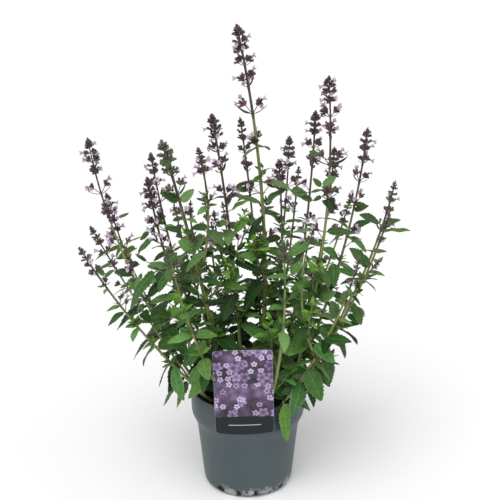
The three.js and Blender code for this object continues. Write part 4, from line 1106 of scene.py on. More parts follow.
# Calyces of a cyme and length of its stalk, and length and width of its bract, from the top whorl down.
CYME_COUNT = (8, 9, 10, 9)
CYME_STALK = (3.5, 6.5, 13, 14)
BRACT_LONG = (9, 13, 18, 24)
BRACT_WIDE = (0.5, 0.5, 0.5, 0.56)
BRACT_TILT, BRACT_DROOP, BRACT_TONE = 82, -0.35, 0.15
CALYX = {"long": 7.9, "r": 1.45}
STALK_TILT = 38
THREAD_R = 0.4


def add_cyme(bunch, at, middle, stalk, count, scale, vigour, rng, first=0):
    """One half of a whorl: a fan of calyces round the end of a steep stalk, some with a flower open.
    Each calyx stands on a thread of its own."""
    size, openness, ripe = vigour
    count = max(3, round(count * (0.4 + 0.6 * size)))
    scale = (0.6 + 0.4 * scale) * (0.6 + 0.4 * size)
    turn, tilt, share = np.array(FAN[:count]).T
    turn = np.radians(turn + rng.uniform(-9, 9, count))
    tilt = np.radians(tilt + rng.uniform(-8, 8, count))
    ring = Frame(*(np.broadcast_to(part, (count, 3)) for part in at))
    direction = leaning(ring, outward(ring, middle + turn), tilt)
    hub = at.point + leaning(at, outward(at, middle), math.radians(STALK_TILT)) * stalk
    origin = hub + direction * column(rng.uniform(0.8, 3.2, count) * scale)
    long = CALYX["long"] * share * rng.uniform(0.88, 1.1, count) * scale
    wide = CALYX["r"] * rng.uniform(0.85, 1.1, count) * scale
    rosy = ripe + 0.9 * rng.random() * (stalk > 9) * (ripe > 0.7)
    add_organs(bunch, CALYX_FORM, origin, direction, ring.forward, long, wide, rosy, CALYX_FINISH, rng)
    opened = np.zeros(count, bool)
    opened[first % count] = rng.random() < 0.3 + 0.7 * openness
    opened[rng.integers(0, count, 2)] |= rng.random(2) < 0.4 * openness
    opened &= openness > 0
    add_flowers(bunch, origin, direction, ring.forward, long, opened, ripe, rng)
    path = at.point + (hub - at.point) * column([0, 0.5, 1, 1.12])
    bunch.add(tube(path, at.side, [0.8, 0.6, 0.65, 0.5], 5), (0.5, 0, 0), (0.5, 0.6, 0.5), STEM_FINISH)
    thread = turned([(0, 1), (1, 1)], 4)
    gap = np.linalg.norm(origin - hub, axis=1) + 0.3
    hubs = np.broadcast_to(hub, origin.shape)
    rows = placed(thread, hubs, direction, upright(direction, ring.forward), gap, np.full(count, THREAD_R))
    bunch.add(rows, (0.5, 0, 0), (0.5, 0.6, 0.5), STEM_FINISH)


def add_whorl(bunch, shoot, k, vigour, rng):
    """Two opposite cymes over two narrow bracts that curve upward."""
    at = shoot.frame(shoot.node_drop(k))
    for side in (0, 1):
        middle = shoot.node_turn(k) + side * math.pi
        count = CYME_COUNT[k] - int(rng.random() < 0.5) - 2 * k * (vigour[0] < 0.7)
        stalk = CYME_STALK[k] * shoot.scale * (0.45 + 0.55 * vigour[0])
        add_cyme(bunch, at, middle, stalk, count, shoot.scale, vigour, rng, 1 - side)
        long = BRACT_LONG[k] * (0.5 + 0.5 * shoot.scale) * (0.5 + 0.5 * vigour[0])
        place = place_on(at, outward(at, middle), math.radians(BRACT_TILT), long, BRACT_DROOP)
        add_leaf(bunch, place, 0.0, rng, LEAF_WIDTH * BRACT_WIDE[k], BRACT_TONE, 0.6)


# ---- finishes


class Finish:
    """One procedural material. Each method adds a step and gives back its output."""

    def __init__(self, name, **settings):
        self.material = bpy.data.materials.new(name)
        self.material.use_nodes = True
        self.nodes, self.links = self.material.node_tree.nodes, self.material.node_tree.links
        self.shader = self.nodes["Principled BSDF"]
        for socket, value in settings.items():
            self.shader.inputs[socket.replace("_", " ")].default_value = value

    def feed(self, socket, value):
        """Links an output to the socket, or sets the socket's own value."""
        if isinstance(value, bpy.types.NodeSocket):
            self.links.new(value, socket)
        elif isinstance(value, tuple) and socket.type == "RGBA":
            socket.default_value = (*value, 1)
        else:
            socket.default_value = value

    def step(self, kind, inputs, out=0, **settings):
        """One node with its settings and inputs, by their names or numbers."""
        node = self.nodes.new("ShaderNode" + kind)
        for name, value in settings.items():
            setattr(node, name, value)
        for socket, value in inputs.items():
            self.feed(node.inputs[socket], value)
        return node.outputs[out]

    def math(self, operation, a, b=0.0):
        """The named operation of a and b."""
        return self.step("Math", {0: a, 1: b}, operation=operation)

    def mix(self, share, a, b):
        """Colour a times one less the share, plus colour b times the share."""
        return self.step("Mix", {0: share, 6: a, 7: b}, 2, data_type="RGBA")

    def soft(self, value, low, high, to_low=0.0, to_high=1.0):
        """A smooth step of the value between two limits."""
        inputs = {0: value, 1: low, 2: high, 3: to_low, 4: to_high}
        return self.step("MapRange", inputs, interpolation_type="SMOOTHSTEP")

    def place(self):
        """The point in the object's own metres."""
        return self.step("TexCoord", {}, "Object")

    def noise(self, scale, detail=3.0, rough=0.55, where=None):
        """Noise with so many waves a metre, about half of it over 0.5."""
        inputs = {"Vector": where or self.place(), "Scale": scale, "Detail": detail, "Roughness": rough}
        return self.step("TexNoise", inputs)

    def split(self, vector):
        """The three parts of a vector."""
        node = self.step("SeparateXYZ", {0: vector}).node
        return node.outputs[0], node.outputs[1], node.outputs[2]

    def parts(self, attribute):
        """The three parts of a mesh attribute."""
        return self.split(self.step("Attribute", {}, 1, attribute_name=attribute))

    def stretched(self, where, shift, scale):
        """Places moved by the shift and scaled, so that a pattern on them is longer where the scale is
        small."""
        return self.step("Mapping", {0: where, 1: shift, 3: scale})

    def times(self, a, b):
        """The product of a and b."""
        return self.math("MULTIPLY", a, b)

    def plus(self, a, b):
        """The sum of a and b."""
        return self.math("ADD", a, b)

    def minus(self, a, b):
        """What is left of a without b."""
        return self.math("SUBTRACT", a, b)

    def bump(self, height, strength, distance):
        """A normal for a height, with the distance in metres."""
        return self.step("Bump", {"Height": height, "Strength": strength, "Distance": distance})

    def wear(self, **sockets):
        """Feeds the shader's own sockets, and gives back the finished material."""
        for socket, value in sockets.items():
            self.feed(self.shader.inputs[socket.replace("_", " ")], value)
        return self.material


def leaf_finish():
    """Green above and grey-green below, with a pale midrib, slanting side veins between quilted
    fields, mottling, and yellow-green where the leaf is young. The leaf's tone, which carries painted
    shade, darkens the green above, and the underside of a dark-toned leaf turns a painted-shade near-black
    green."""
    f = Finish("catmint_leaf", Specular_IOR_Level=0.16, Sheen_Weight=0.01, Sheen_Roughness=0.5)
    along, across, under = f.parts("lay")
    tone, youth, hue = f.parts("kind")
    size = f.math("ABSOLUTE", across)
    slant = f.math("FRACT", f.minus(along, f.times(size, 1.7)))
    gap = f.math("ABSOLUTE", f.minus(slant, 0.5))
    vein = f.times(f.soft(gap, 0.38, 0.5), f.soft(size, 1.0, 0.75))
    rib = f.soft(size, 0.13, 0.03)
    veins = f.math("MAXIMUM", f.times(vein, 0.7), rib)
    mottle = f.noise(210, 4)
    fine = f.noise(1400, 3)
    # shade is the leaf's tone times mottling: partly its own green, partly painted shade from its place in
    # the plant.
    shade = f.times(tone, f.soft(mottle, 0.3, 0.7, 0.75, 1.2))
    above = f.mix(shade, (0.006, 0.038, 0.005), (0.146, 0.325, 0.07))
    grey = f.mix(shade, (0.018, 0.04, 0.014), (0.175, 0.262, 0.11))
    cool = f.mix(shade, (0.002, 0.03, 0.005), (0.078, 0.265, 0.062))
    above = f.mix(f.soft(hue, 0.45, 1.0, 0.0, 0.65), above, grey)
    above = f.mix(f.soft(hue, 0.4, 0.0, 0.0, 0.75), above, cool)
    vein_green = f.mix(shade, (0.05, 0.13, 0.03), (0.25, 0.4, 0.14))
    above = f.mix(f.times(veins, 0.6), above, vein_green)
    below = f.mix(f.soft(mottle, 0.25, 0.75), (0.075, 0.125, 0.04), (0.15, 0.22, 0.085))
    below = f.mix(f.times(veins, 0.6), below, (0.25, 0.33, 0.15))
    # Painted shade: the undersides of dark-toned leaves turn near-black green.
    below = f.mix(f.soft(tone, 0.6, 0.0, 0.0, 0.85), below, (0.008, 0.035, 0.004))
    grown = f.mix(f.math("GREATER_THAN", under, 0.5), above, below)
    fresh = f.mix(f.soft(mottle, 0.3, 0.75), (0.10, 0.27, 0.02), (0.2, 0.42, 0.05))
    fresh = f.mix(f.times(veins, 0.3), fresh, (0.3, 0.48, 0.12))
    colour = f.mix(f.soft(youth, 0.0, 1.0), grown, fresh)
    edge = f.times(f.soft(size, 0.86, 0.98), f.soft(tone, 0.0, 0.7, 0.1, 0.7))
    colour = f.mix(edge, colour, (0.26, 0.33, 0.16))
    height = f.plus(f.times(veins, -0.8), f.times(fine, 0.5))
    rough = f.soft(f.noise(600, 2), 0.2, 0.8, 0.34, 0.56)
    return f.wear(Base_Color=colour, Roughness=rough, Normal=f.bump(height, 0.5, 0.0006))


def stem_finish():
    """Green-brown at the foot to purple-brown at the top, with fine streaks along the stem."""
    f = Finish("catmint_stem", Specular_IOR_Level=0.35, Sheen_Weight=0.06)
    tone, ripe, _ = f.parts("kind")
    streak = f.noise(900, 3, where=f.stretched(f.place(), (0, 0, 0), (1, 1, 0.06)))
    patch = f.noise(60, 3)
    green = f.mix(f.soft(streak, 0.3, 0.7), (0.135, 0.17, 0.048), (0.285, 0.335, 0.115))
    green = f.mix(f.times(tone, 0.32), green, (0.2, 0.14, 0.07))
    purple = f.mix(f.soft(streak, 0.3, 0.7), (0.028, 0.018, 0.018), (0.12, 0.085, 0.072))
    ripeness = f.plus(ripe, f.times(f.minus(patch, 0.5), 0.5))
    colour = f.mix(f.soft(ripeness, 0.15, 0.85), green, purple)
    rough = f.soft(streak, 0.2, 0.8, 0.45, 0.65)
    return f.wear(Base_Color=colour, Roughness=rough, Normal=f.bump(streak, 0.3, 0.0004))


def calyx_finish():
    """Purple-brown, greener at the base, grey-green where unripe, with pale grey specks."""
    f = Finish("catmint_calyx", Specular_IOR_Level=0.2, Sheen_Weight=0.1, Sheen_Roughness=0.5)
    along, _, _ = f.parts("lay")
    tone, ripe, hue = f.parts("kind")
    fine = f.noise(1500, 3)
    wine = f.mix(tone, (0.022, 0.009, 0.015), (0.15, 0.078, 0.092))
    wine = f.mix(f.times(hue, 0.4), wine, (0.07, 0.055, 0.045))
    green = f.mix(tone, (0.08, 0.1, 0.05), (0.2, 0.21, 0.13))
    body = f.mix(f.times(f.soft(along, 0.45, 0.0), 0.5), wine, (0.1, 0.11, 0.05))
    colour = f.mix(ripe, green, body)
    rosy = f.mix(tone, (0.09, 0.025, 0.055), (0.3, 0.12, 0.22))
    colour = f.mix(f.soft(ripe, 1.0, 2.0, 0.0, 0.8), colour, rosy)
    colour = f.mix(f.times(f.soft(fine, 0.45, 0.75), 0.5), colour, (0.38, 0.31, 0.34))
    rough = f.soft(fine, 0.2, 0.8, 0.5, 0.72)
    return f.wear(Base_Color=colour, Roughness=rough, Normal=f.bump(fine, 0.4, 0.0004))


def petal_finish():
    """Pale lilac, deeper toward the throat, with purple dots on the lower lip."""
    f = Finish("catmint_petal", Specular_IOR_Level=0.3, Sheen_Weight=0.1)
    along, up, _ = f.parts("lay")
    tone, _, hue = f.parts("kind")
    dots = f.noise(2600, 1)
    lip = f.mix(tone, (0.52, 0.44, 0.53), (0.8, 0.74, 0.8))
    lip = f.mix(f.times(hue, 0.3), lip, (0.55, 0.37, 0.56))
    colour = f.mix(f.soft(along, 0.85, 0.4), lip, (0.44, 0.34, 0.44))
    low = f.times(f.soft(dots, 0.56, 0.64), f.soft(up, 0.2, -0.8))
    colour = f.mix(f.times(low, 0.6), colour, (0.28, 0.09, 0.36))
    rough = f.soft(dots, 0.2, 0.8, 0.45, 0.65)
    return f.wear(Base_Color=colour, Roughness=rough, Normal=f.bump(dots, 0.15, 0.0003))


FOOT_BAND = 0.016  # metres; crust and dirt thin out with each such height above the ground


def pot_finish():
    """Blue-grey moulded plastic: a fine skin, faint upright scuffs, and a pale crust of dried peat
    water above the foot."""
    f = Finish("grey_pot_plastic", Specular_IOR_Level=0.28, IOR=1.49)
    where = f.place()
    _, _, z = f.split(where)
    cloud = f.noise(14, 4, where=where)
    skin = f.noise(1300, 2, where=where)
    scuff = f.noise(160, 4, where=f.stretched(where, (0, 0, 0), (1, 1, 0.12)))
    grit = f.noise(95, 6, 0.7, where=where)
    colour = f.mix(f.soft(cloud, 0.25, 0.75), (0.06, 0.08, 0.088), (0.07, 0.091, 0.099))
    colour = f.mix(f.times(f.soft(scuff, 0.6, 0.8), 0.25), colour, (0.12, 0.145, 0.15))
    level = f.math("DIVIDE", z, FOOT_BAND)
    tall = f.noise(30, 5, 0.68, where=f.stretched(where, (0.13, 0.02, 0.4), (1, 1, 0.9)))
    crust = f.soft(f.minus(tall, f.times(level, 0.07)), 0.42, 0.48)
    crust = f.times(crust, f.soft(z, 0.022, 0.012))
    crust = f.times(crust, f.soft(grit, 0.34, 0.55, 0.2, 0.95))
    colour = f.mix(crust, colour, (0.35, 0.37, 0.37))
    deep = f.noise(55, 4, 0.6, where=f.stretched(where, (0.31, 0.1, 0.2), (1, 1, 0.3)))
    dirt = f.soft(f.minus(deep, f.times(level, 0.16)), 0.47, 0.5)
    colour = f.mix(dirt, colour, (0.008, 0.007, 0.006))
    specks = f.soft(f.noise(330, 2, where=where), 0.69, 0.73)
    specks = f.times(specks, f.soft(z, 0.11, 0.03, 0.1, 0.8))
    colour = f.mix(specks, colour, (0.03, 0.03, 0.027))
    rough = f.plus(f.soft(cloud, 0.2, 0.8, 0.36, 0.48), f.times(crust, 0.4))
    laid_on = f.times(f.math("MAXIMUM", crust, dirt), 1.2)
    height = f.plus(f.times(skin, 0.3), laid_on)
    return f.wear(Base_Color=colour, Roughness=rough, Normal=f.bump(height, 0.25, 0.0005))


def peat_finish():
    """Near-black crumbly peat with brown fibres."""
    f = Finish("dark_peat", Specular_IOR_Level=0.2)
    tone, fibre, _ = f.parts("kind")
    coarse, fine = f.noise(180, 5, 0.65), f.noise(900, 4, 0.6)
    colour = f.mix(f.soft(coarse, 0.35, 0.7), (0.006, 0.005, 0.004), (0.03, 0.022, 0.015))
    colour = f.mix(f.times(f.soft(fine, 0.55, 0.75), 0.5), colour, (0.07, 0.05, 0.032))
    straw = f.mix(tone, (0.09, 0.06, 0.035), (0.4, 0.36, 0.27))
    colour = f.mix(fibre, colour, straw)
    height = f.plus(coarse, f.times(fine, 0.5))
    rough = f.soft(fine, 0.2, 0.8, 0.8, 0.97)
    return f.wear(Base_Color=colour, Roughness=rough, Normal=f.bump(height, 0.6, 0.002))


# Rosettes of the print, from the farthest to the nearest: spacing in millimetres, seed, blur of the
# edge, share of places left bare, and darkest and palest colour.
ROSETTES = (
    (34.0, 3.0, 0.22, 0.3, (0.08, 0.05, 0.11), (0.26, 0.19, 0.34)),
    (19.0, 11.0, 0.07, 0.5, (0.1, 0.05, 0.14), (0.4, 0.3, 0.5)),
    (11.0, 23.0, 0.03, 0.55, (0.16, 0.08, 0.21), (0.66, 0.55, 0.75)),
)
PETALS = 5
PETAL_REACH = 0.42  # share of the spacing
# The band and its line: height of the band, place, half thickness and half length of the line, all as
# shares of the card's height or half width.
BAND_HEIGHT, LINE_AT, LINE_HALF, LINE_LONG = 0.196, 0.105, 0.004, 0.55


def label_finish():
    """A printed card: round-petalled rosettes of lilac over a soft purple ground, above a slate band
    with one thin line. The back is plain and pale."""
    f = Finish("printed_label", Specular_IOR_Level=0.22, Coat_Weight=0.03, Coat_Roughness=0.3)
    across, up, back = f.parts("lay")
    flat = f.step("CombineXYZ", {0: f.times(across, LABEL["width"] / 2), 1: f.times(up, LABEL["height"])})
    haze = f.noise(0.045, 2, where=flat)
    grain = f.noise(0.35, 3, where=flat)
    ground = f.mix(f.soft(haze, 0.35, 0.65), (0.022, 0.024, 0.024), (0.095, 0.062, 0.125))
    ground = f.mix(f.times(f.soft(grain, 0.45, 0.7), 0.3), ground, (0.2, 0.14, 0.27))
    for size, seed, blur, bare, dark, pale in ROSETTES:
        shifted = f.step("VectorMath", {0: flat, 1: (seed * 7.3, seed * 3.1, 0)}, operation="ADD")
        cells = f.step("VectorMath", {0: shifted, 3: 1 / size}, operation="SCALE")
        inputs = {"Vector": cells, "Scale": 1.0, "Randomness": 0.75}
        cell = f.step("TexVoronoi", inputs, voronoi_dimensions="2D").node
        local = f.step("VectorMath", {0: cells, 1: cell.outputs["Position"]}, operation="SUBTRACT")
        radius = f.step("VectorMath", {0: local}, 1, operation="LENGTH")
        aside, high, _ = f.split(local)
        turn, pick, light = f.split(cell.outputs["Color"])
        angle = f.plus(f.math("ARCTAN2", high, aside), f.times(turn, TAU))
        petal = f.math("ABSOLUTE", f.math("COSINE", f.times(angle, PETALS / 2)))
        rim = f.times(f.plus(f.times(petal, 0.42), 0.58), PETAL_REACH)
        inside = f.soft(f.minus(radius, rim), blur, -blur)
        shown = f.times(inside, f.math("GREATER_THAN", pick, bare))
        shade = f.plus(f.times(light, 0.6), f.soft(radius, 0.0, 0.4, -0.2, 0.5))
        ground = f.mix(shown, ground, f.mix(shade, dark, pale))
        ground = f.mix(f.times(f.soft(radius, 0.07, 0.04), shown), ground, (0.1, 0.05, 0.14))
    rise = f.times(f.math("COSINE", f.times(across, 1.57)), 0.012)
    band = f.math("LESS_THAN", f.minus(up, rise), BAND_HEIGHT)
    slate = f.mix(f.soft(grain, 0.3, 0.7), (0.008, 0.012, 0.014), (0.013, 0.018, 0.02))
    beside = f.math("ABSOLUTE", f.minus(up, LINE_AT))
    in_line = f.math("LESS_THAN", f.math("ABSOLUTE", across), LINE_LONG)
    line = f.times(f.math("LESS_THAN", beside, LINE_HALF), in_line)
    slate = f.mix(line, slate, (0.5, 0.52, 0.53))
    front = f.mix(band, ground, slate)
    edge = f.times(f.soft(f.math("ABSOLUTE", across), 0.985, 1.0), 0.5)
    front = f.mix(edge, front, (0.5, 0.48, 0.53))
    plain = f.mix(f.soft(grain, 0.3, 0.7), (0.6, 0.6, 0.59), (0.66, 0.66, 0.65))
    colour = f.mix(f.math("GREATER_THAN", back, 0.5), front, plain)
    rough = f.soft(grain, 0.2, 0.8, 0.28, 0.36)
    return f.wear(Base_Color=colour, Roughness=rough, Normal=f.bump(grain, 0.03, 0.0002))


# ---- pot, peat and label

SECTOR = 20  # steps round the pot between two drain holes
FLOOR_IN, FLOOR_OUT = 23, 48.4
WALL_IN = [(83.1, 118.8), (74.9, 102.8), (65.7, 10.6), (62, 5.6)]  # corners inside, from the collar down
RIM = [(84.2, 159), (83.4, 158.4), (83.2, 150)]  # the rounded edge and the collar's inside
AXIS = 0.6  # radius of the last ring where a turned sheet closes
HOLE_RINGS = (1, 0.72, 0.45, 0.2, 0)  # share of the way from a drain hole's edge to its sheet's outline
NOTCH = {"at": 56, "overhang": 1.2, "slope": 1.6, "outside": 50, "below": 6, "rows": 40}
PEAT_BELOW = [
    (0.3, 5.15), (48, 5.15), (57, 5.4), (64, 8), (65.2, 11), (74.4, 103), (82.6, 119), (82.8, 148.6),
]
FIBRE_LIFT = 0.6
# Fibres on the peat: count, least radius, how high above the rest, half of the greatest length, paleness.
FIBRES = ((170, 0, 0, 5, 0.7), (90, 60, 0.6, 6.5, 1))
BRIDGE_CLEAR = 0.35  # between the rim and the label's bridge


def rounded(profile, reach, steps=3):
    """Each inner corner becomes a quadratic curve that starts and ends a reach away from it, or half
    way to the next corner where that is nearer."""
    points = np.array(profile, float)
    before, corner, after = points[:-2], points[1:-1], points[2:]
    back, ahead = before - corner, after - corner
    limit = np.minimum(np.linalg.norm(back, axis=1), np.linalg.norm(ahead, axis=1)) * 0.48
    cut = column(np.minimum(reach, limit))
    start, end = corner + unit(back) * cut, corner + unit(ahead) * cut
    s = np.linspace(0, 1, steps)[None, :, None]
    curve = start[:, None] * (1 - s) ** 2 + corner[:, None] * 2 * s * (1 - s) + end[:, None] * s * s
    return np.concatenate([points[:1], curve.reshape(-1, 2), points[-1:]])


def polar(r, angle, z):
    """Points at a distance from the axis, an angle and a height: radius times cosine, radius times sine,
    height."""
    return np.stack(np.broadcast_arrays(r * np.cos(angle), r * np.sin(angle), z), -1)


def lathe_rows(profile, angle):
    """A profile of (radius, height) turned about Z."""
    r, z = np.asarray(profile, float).T[:, :, None]
    return polar(r, angle, z)


def make_pot(finish):
    """One closed shell. The wall, rim, foot ring and pad are turned profiles, and each sixth of the
    floor is a sheet stretched from its outline to a round hole, above and below."""
    bunch = Bunch()
    under, floor, rim = POT["underside"], POT["floor"], POT["rim"]
    ring, half = SECTOR * DRAIN["count"], 180 / DRAIN["count"]
    angle = math.radians(DRAIN["turn"] + half) + TAU * np.arange(ring) / ring
    pad = rounded([(AXIS, 0), (POT["pad"], 0), (POT["pad"] + 1.5, under), (FLOOR_IN, under)], 0.8)
    bends = np.linspace(0, QUARTER, 7)
    heel = [(POT["foot"] + 10.4 * math.sin(a), POT["heel"] * (1 - math.cos(a))) for a in bends]
    inner_foot = [(FLOOR_OUT, under), (POT["foot_in"] - 1.5, under), (POT["foot_in"], 0)]
    foot = rounded([*inner_foot, *heel, POT["waist"]], 2.4)
    wall = rounded([POT["waist"], POT["shoulder"], POT["neck"], (rim, POT["collar_low"])], 9, 6)
    outer_rim = [(rim, POT["collar_low"]), (rim, POT["collar_low"] + 12), (rim, POT["height"] - 0.4)]
    collar = rounded([*outer_rim, *RIM, WALL_IN[0]], 1.0)
    inner = rounded([*WALL_IN, (POT["foot"], floor), (FLOOR_OUT, floor)], 1.5)
    outside = lathe_rows(np.concatenate([foot, wall[1:-1], collar, inner[1:]]), angle)
    arc = (angle - math.radians(DRAIN["turn"]) + math.radians(half)) % math.radians(2 * half)
    reach = np.abs(arc - math.radians(half)) * NOTCH["at"]
    over = (DRAIN["notch_width"] / 2 + NOTCH["overhang"] - reach) / NOTCH["slope"]
    notch = DRAIN["notch_height"] * np.clip(over, 0, 1)
    radius, row = np.hypot(outside[..., 0], outside[..., 1]), np.arange(len(outside))[:, None]
    low = (radius > NOTCH["outside"]) & (outside[..., 2] < NOTCH["below"]) & (row < NOTCH["rows"])
    outside[..., 2] = np.where(low, np.maximum(outside[..., 2], notch), outside[..., 2])
    still, kind = (0, 0, 0), (0.5, 0.5, 0.5)
    bunch.add(lathe_rows(pad, angle), still, kind, 0, (True, False))
    bunch.add(outside, still, kind, 0, (False, False))
    sheet = [(FLOOR_IN, floor), (10, floor), (AXIS, floor)]
    bunch.add(lathe_rows(sheet, angle), still, kind, 0, (False, True))
    steps = np.linspace(-half, half, SECTOR + 1)
    sides = np.linspace(FLOOR_IN, FLOOR_OUT, 5)
    outline = np.concatenate([
        np.stack([np.full(SECTOR, FLOOR_OUT), steps[:-1]], 1),
        np.stack([sides[:0:-1], np.full(4, half)], 1),
        np.stack([np.full(SECTOR, FLOOR_IN), steps[:0:-1]], 1),
        np.stack([sides[:-1], np.full(4, -half)], 1),
    ])
    bearing = np.radians(outline[:, 1])
    edge = column(outline[:, 0]) * np.stack([np.cos(bearing), np.sin(bearing)], 1)
    centre = np.array([DRAIN["ring"], 0])
    hole = centre + unit(edge - centre) * DRAIN["r"]
    share = column(column(np.array([*HOLE_RINGS, *HOLE_RINGS[::-1]])))
    flat = hole * (1 - share) + edge * share
    height = column(np.repeat([under, floor], len(HOLE_RINGS)))
    for i in range(DRAIN["count"]):
        a = math.radians(DRAIN["turn"] + 2 * half * i)
        x = flat[..., 0] * math.cos(a) - flat[..., 1] * math.sin(a)
        y = flat[..., 0] * math.sin(a) + flat[..., 1] * math.cos(a)
        rows = np.stack(np.broadcast_arrays(x, y, height), -1)
        bunch.add(rows[:, ::-1], still, kind, 0, (False, False))
    return bunch.make("nursery_pot", [finish], "pot", "pot_plastic", crease=50, weld=True)


def ripples(x, y, seed, count=14, low=4, high=22):
    """Rough ground: a sum of sine waves in random directions, shorter waves lower."""
    rng = np.random.default_rng(seed)
    long = rng.uniform(low, high, count)
    way = rng.uniform(0, TAU, count)
    start = rng.uniform(0, TAU, count)
    phase = TAU * (x[..., None] * np.cos(way) + y[..., None] * np.sin(way)) / long + start
    return (np.sin(phase) * long).sum(-1) / long.sum() * 2.4


def peat_height(r, lift=0.0):
    """The height of the peat, or of a lift above it: the crown less the fall times the radius squared."""
    return PEAT["crown"] + lift - PEAT["fall"] * (r / PEAT["r"]) ** 2


def make_peat(finish):
    """The fill of peat: a turned body whose top is rough ground, strewn with crumbs and fibres."""
    bunch, rng = Bunch(), np.random.default_rng(5)
    angle = TAU * np.arange(112) / 112
    radii = np.append(np.linspace(82.2, 2, 38), 0.3)
    top = np.stack([radii, peat_height(radii)], 1)
    body = lathe_rows(np.concatenate([PEAT_BELOW, top]), angle)
    rough = body[len(PEAT_BELOW):]
    fade = column(np.clip((PEAT["r"] - radii) / 4, 0.25, 1))
    rough[..., 2] += PEAT["rough"] * fade * ripples(rough[..., 0], rough[..., 1], 8)
    bunch.add(body, (0, 0, 0), (0.5, 0, 0.5), 0)
    count = PEAT["crumbs"]
    r, way = PEAT["strewn"] * np.sqrt(rng.random(count)), rng.uniform(0, TAU, count)
    spot = polar(r, way, peat_height(r))
    spot[:, 2] += PEAT["rough"] * ripples(spot[:, 0], spot[:, 1], 8)
    lump = turned([(-0.9, 0.3), (-0.1, 1.0), (0.85, 0.4)], 6)
    direction = unit(rng.normal(size=(count, 3)))
    up = upright(direction, unit(rng.normal(size=(count, 3))))
    size = rng.gamma(2.2, 0.42, count) + 0.5
    rows = placed(lump, spot, direction, up, size * rng.uniform(0.7, 1.5, count), size)
    rows += rng.normal(0, 0.12, rows.shape) * column(column(column(size)))
    rows[..., 2] = np.minimum(rows[..., 2], PEAT["highest"])
    bunch.add(rows, (0, 0, 0), (0.5, 0, 0.5), 0)
    fibre = turned([(-1, 0.5), (-0.4, 1), (0.3, 0.9), (1, 0.4)], 5)
    for count, inside, lift, longest, palest in FIBRES:
        r = np.sqrt(rng.uniform(inside**2, 78**2, count))
        way = rng.uniform(0, TAU, count)
        start = polar(r, way, peat_height(r, FIBRE_LIFT + lift))
        direction = unit(rng.normal(size=(count, 3)) * (1, 1, 0.25))
        up = upright(direction, np.broadcast_to((0.0, 0.0, 1.0), direction.shape))
        half, thick = rng.uniform(1.5, longest, count), rng.uniform(0.16, 0.36, count)
        rows = placed(fibre, start, direction, up, half, thick)
        far = np.hypot(rows[..., 0], rows[..., 1])
        rows[..., :2] *= column(np.minimum(1, PEAT["strewn"] / np.maximum(far, 1)))
        kind = np.stack([palest * rng.random(count) ** (0.6 * palest), np.ones(count), np.ones(count)], 1)
        bunch.add(rows, (0, 0, 0), kind[:, None, None], 0)
    return bunch.make("peat_fill", [finish], "soil", "peat", crease=60)


def make_label(finish):
    """A card whose rows run up its height, each row a thin ring across front and back. Its half
    width shrinks by a circle's arc at the corners and its lower edge bows down. A strip carried
    along a bent path joins it over the rim to its tongue in the peat."""
    bunch = Bunch()
    half, high, corner = LABEL["width"] / 2, LABEL["height"], LABEL["corner"]
    turn = np.linspace(0, QUARTER, 6)
    low_rows = corner * (1 - np.cos(turn))
    rows_up = np.concatenate([low_rows, np.linspace(corner, high - corner, 14)[1:-1], high - low_rows[::-1]])
    off = np.minimum(rows_up, high - rows_up)
    short = np.where(off < corner, corner - np.sqrt(np.maximum(0, corner**2 - (corner - off) ** 2)), 0)
    across = np.linspace(-1, 1, 17)
    ring = np.append(across, across[::-1])
    behind = np.repeat([0.0, 1.0], len(across))
    s, z = np.meshgrid(ring, rows_up)
    x = s * (half - column(short))
    level = z - LABEL["bulge"] * (1 - s * s) * (1 - z / high) ** 6
    skin = 0.06 * (np.abs(s) == 1)
    y = np.where(behind, -skin, skin - LABEL["thick"]) + 0 * x
    roll, lean = math.radians(-LABEL["roll"]), math.radians(LABEL["lean"])
    x, level = x * math.cos(roll) + level * math.sin(roll), level * math.cos(roll) - x * math.sin(roll)
    y, level = y * math.cos(lean) - level * math.sin(lean), y * math.sin(lean) + level * math.cos(lean)
    card = np.stack([x + LABEL["x"], y - POT["rim"] - LABEL["clear"], level + LABEL["bottom"]], -1)
    edge = np.where(np.abs(s) == 1, 0.5, behind)
    lay = np.stack([s, z / high, edge], -1)
    bunch.add(card, lay, (0.5, 0, 0), 0)
    slope, thin = math.tan(lean) * (POT["height"] - LABEL["bottom"]), LABEL["thick"] / 2
    back, front = -POT["rim"] - LABEL["clear"] - slope - thin, LABEL["tongue_y"] + thin
    bridge, low = POT["height"] + BRIDGE_CLEAR + thin, LABEL["tongue_low"]
    path = rounded([(back, bridge), (front, bridge), (front, low + 6), (front, low)], 1.2, 5)
    wide = np.where(np.arange(len(path)) == len(path) - 1, 0.45, 1.0) * LABEL["tongue"] / 2
    heading = unit(np.gradient(path, axis=0))
    normal = np.stack([-heading[:, 1], heading[:, 0]], 1)
    corners = np.array([(-1, 1), (1, 1), (1, -1), (-1, -1)], float)
    section = path[:, None] + normal[:, None] * (corners[:, 1:] * thin)
    strip = np.stack([LABEL["x"] + corners[:, 0] * wide[:, None], section[..., 0], section[..., 1]], -1)
    bunch.add(strip, (0, 0.5, 1), (0.5, 0, 0), 0)
    return bunch.make("plant_tag", [finish], "plant_label", "label_card", crease=30)


# ---- the plant's pieces

STOUT_STEMS = {
    "01": 1.5, "02": 1.3, "04": 1.45, "05": 1.3, "08": 1.2, "13": 1.25, "18": 1.25, "19": 1.65, "24": 1.4,
    "26": 1.5, "31": 1.3,
}
USUAL_STOUT = 1.16
# How much farther down than usual the purple of a stem reaches, or less far where it is below 0.
PURPLE_STEMS = {
    "23": -0.9, "26": -0.9, "31": -0.5, "24": -0.4, "29": -0.4, "25": -0.3, "08": -0.2, "09": -0.3,
    "02": 0.55, "19": 0.1, "05": 0.35, "17": 0.3, "18": 0.3, "03": 0.3,
}
YOUNG_LESS = 0.35  # young stems are less purple
SPIKE_PURPLE, SPIKE_USUAL = 0.25, 0.2
SPIKE_GAP = 0.35  # between a spike's stem and the leafy stem below it
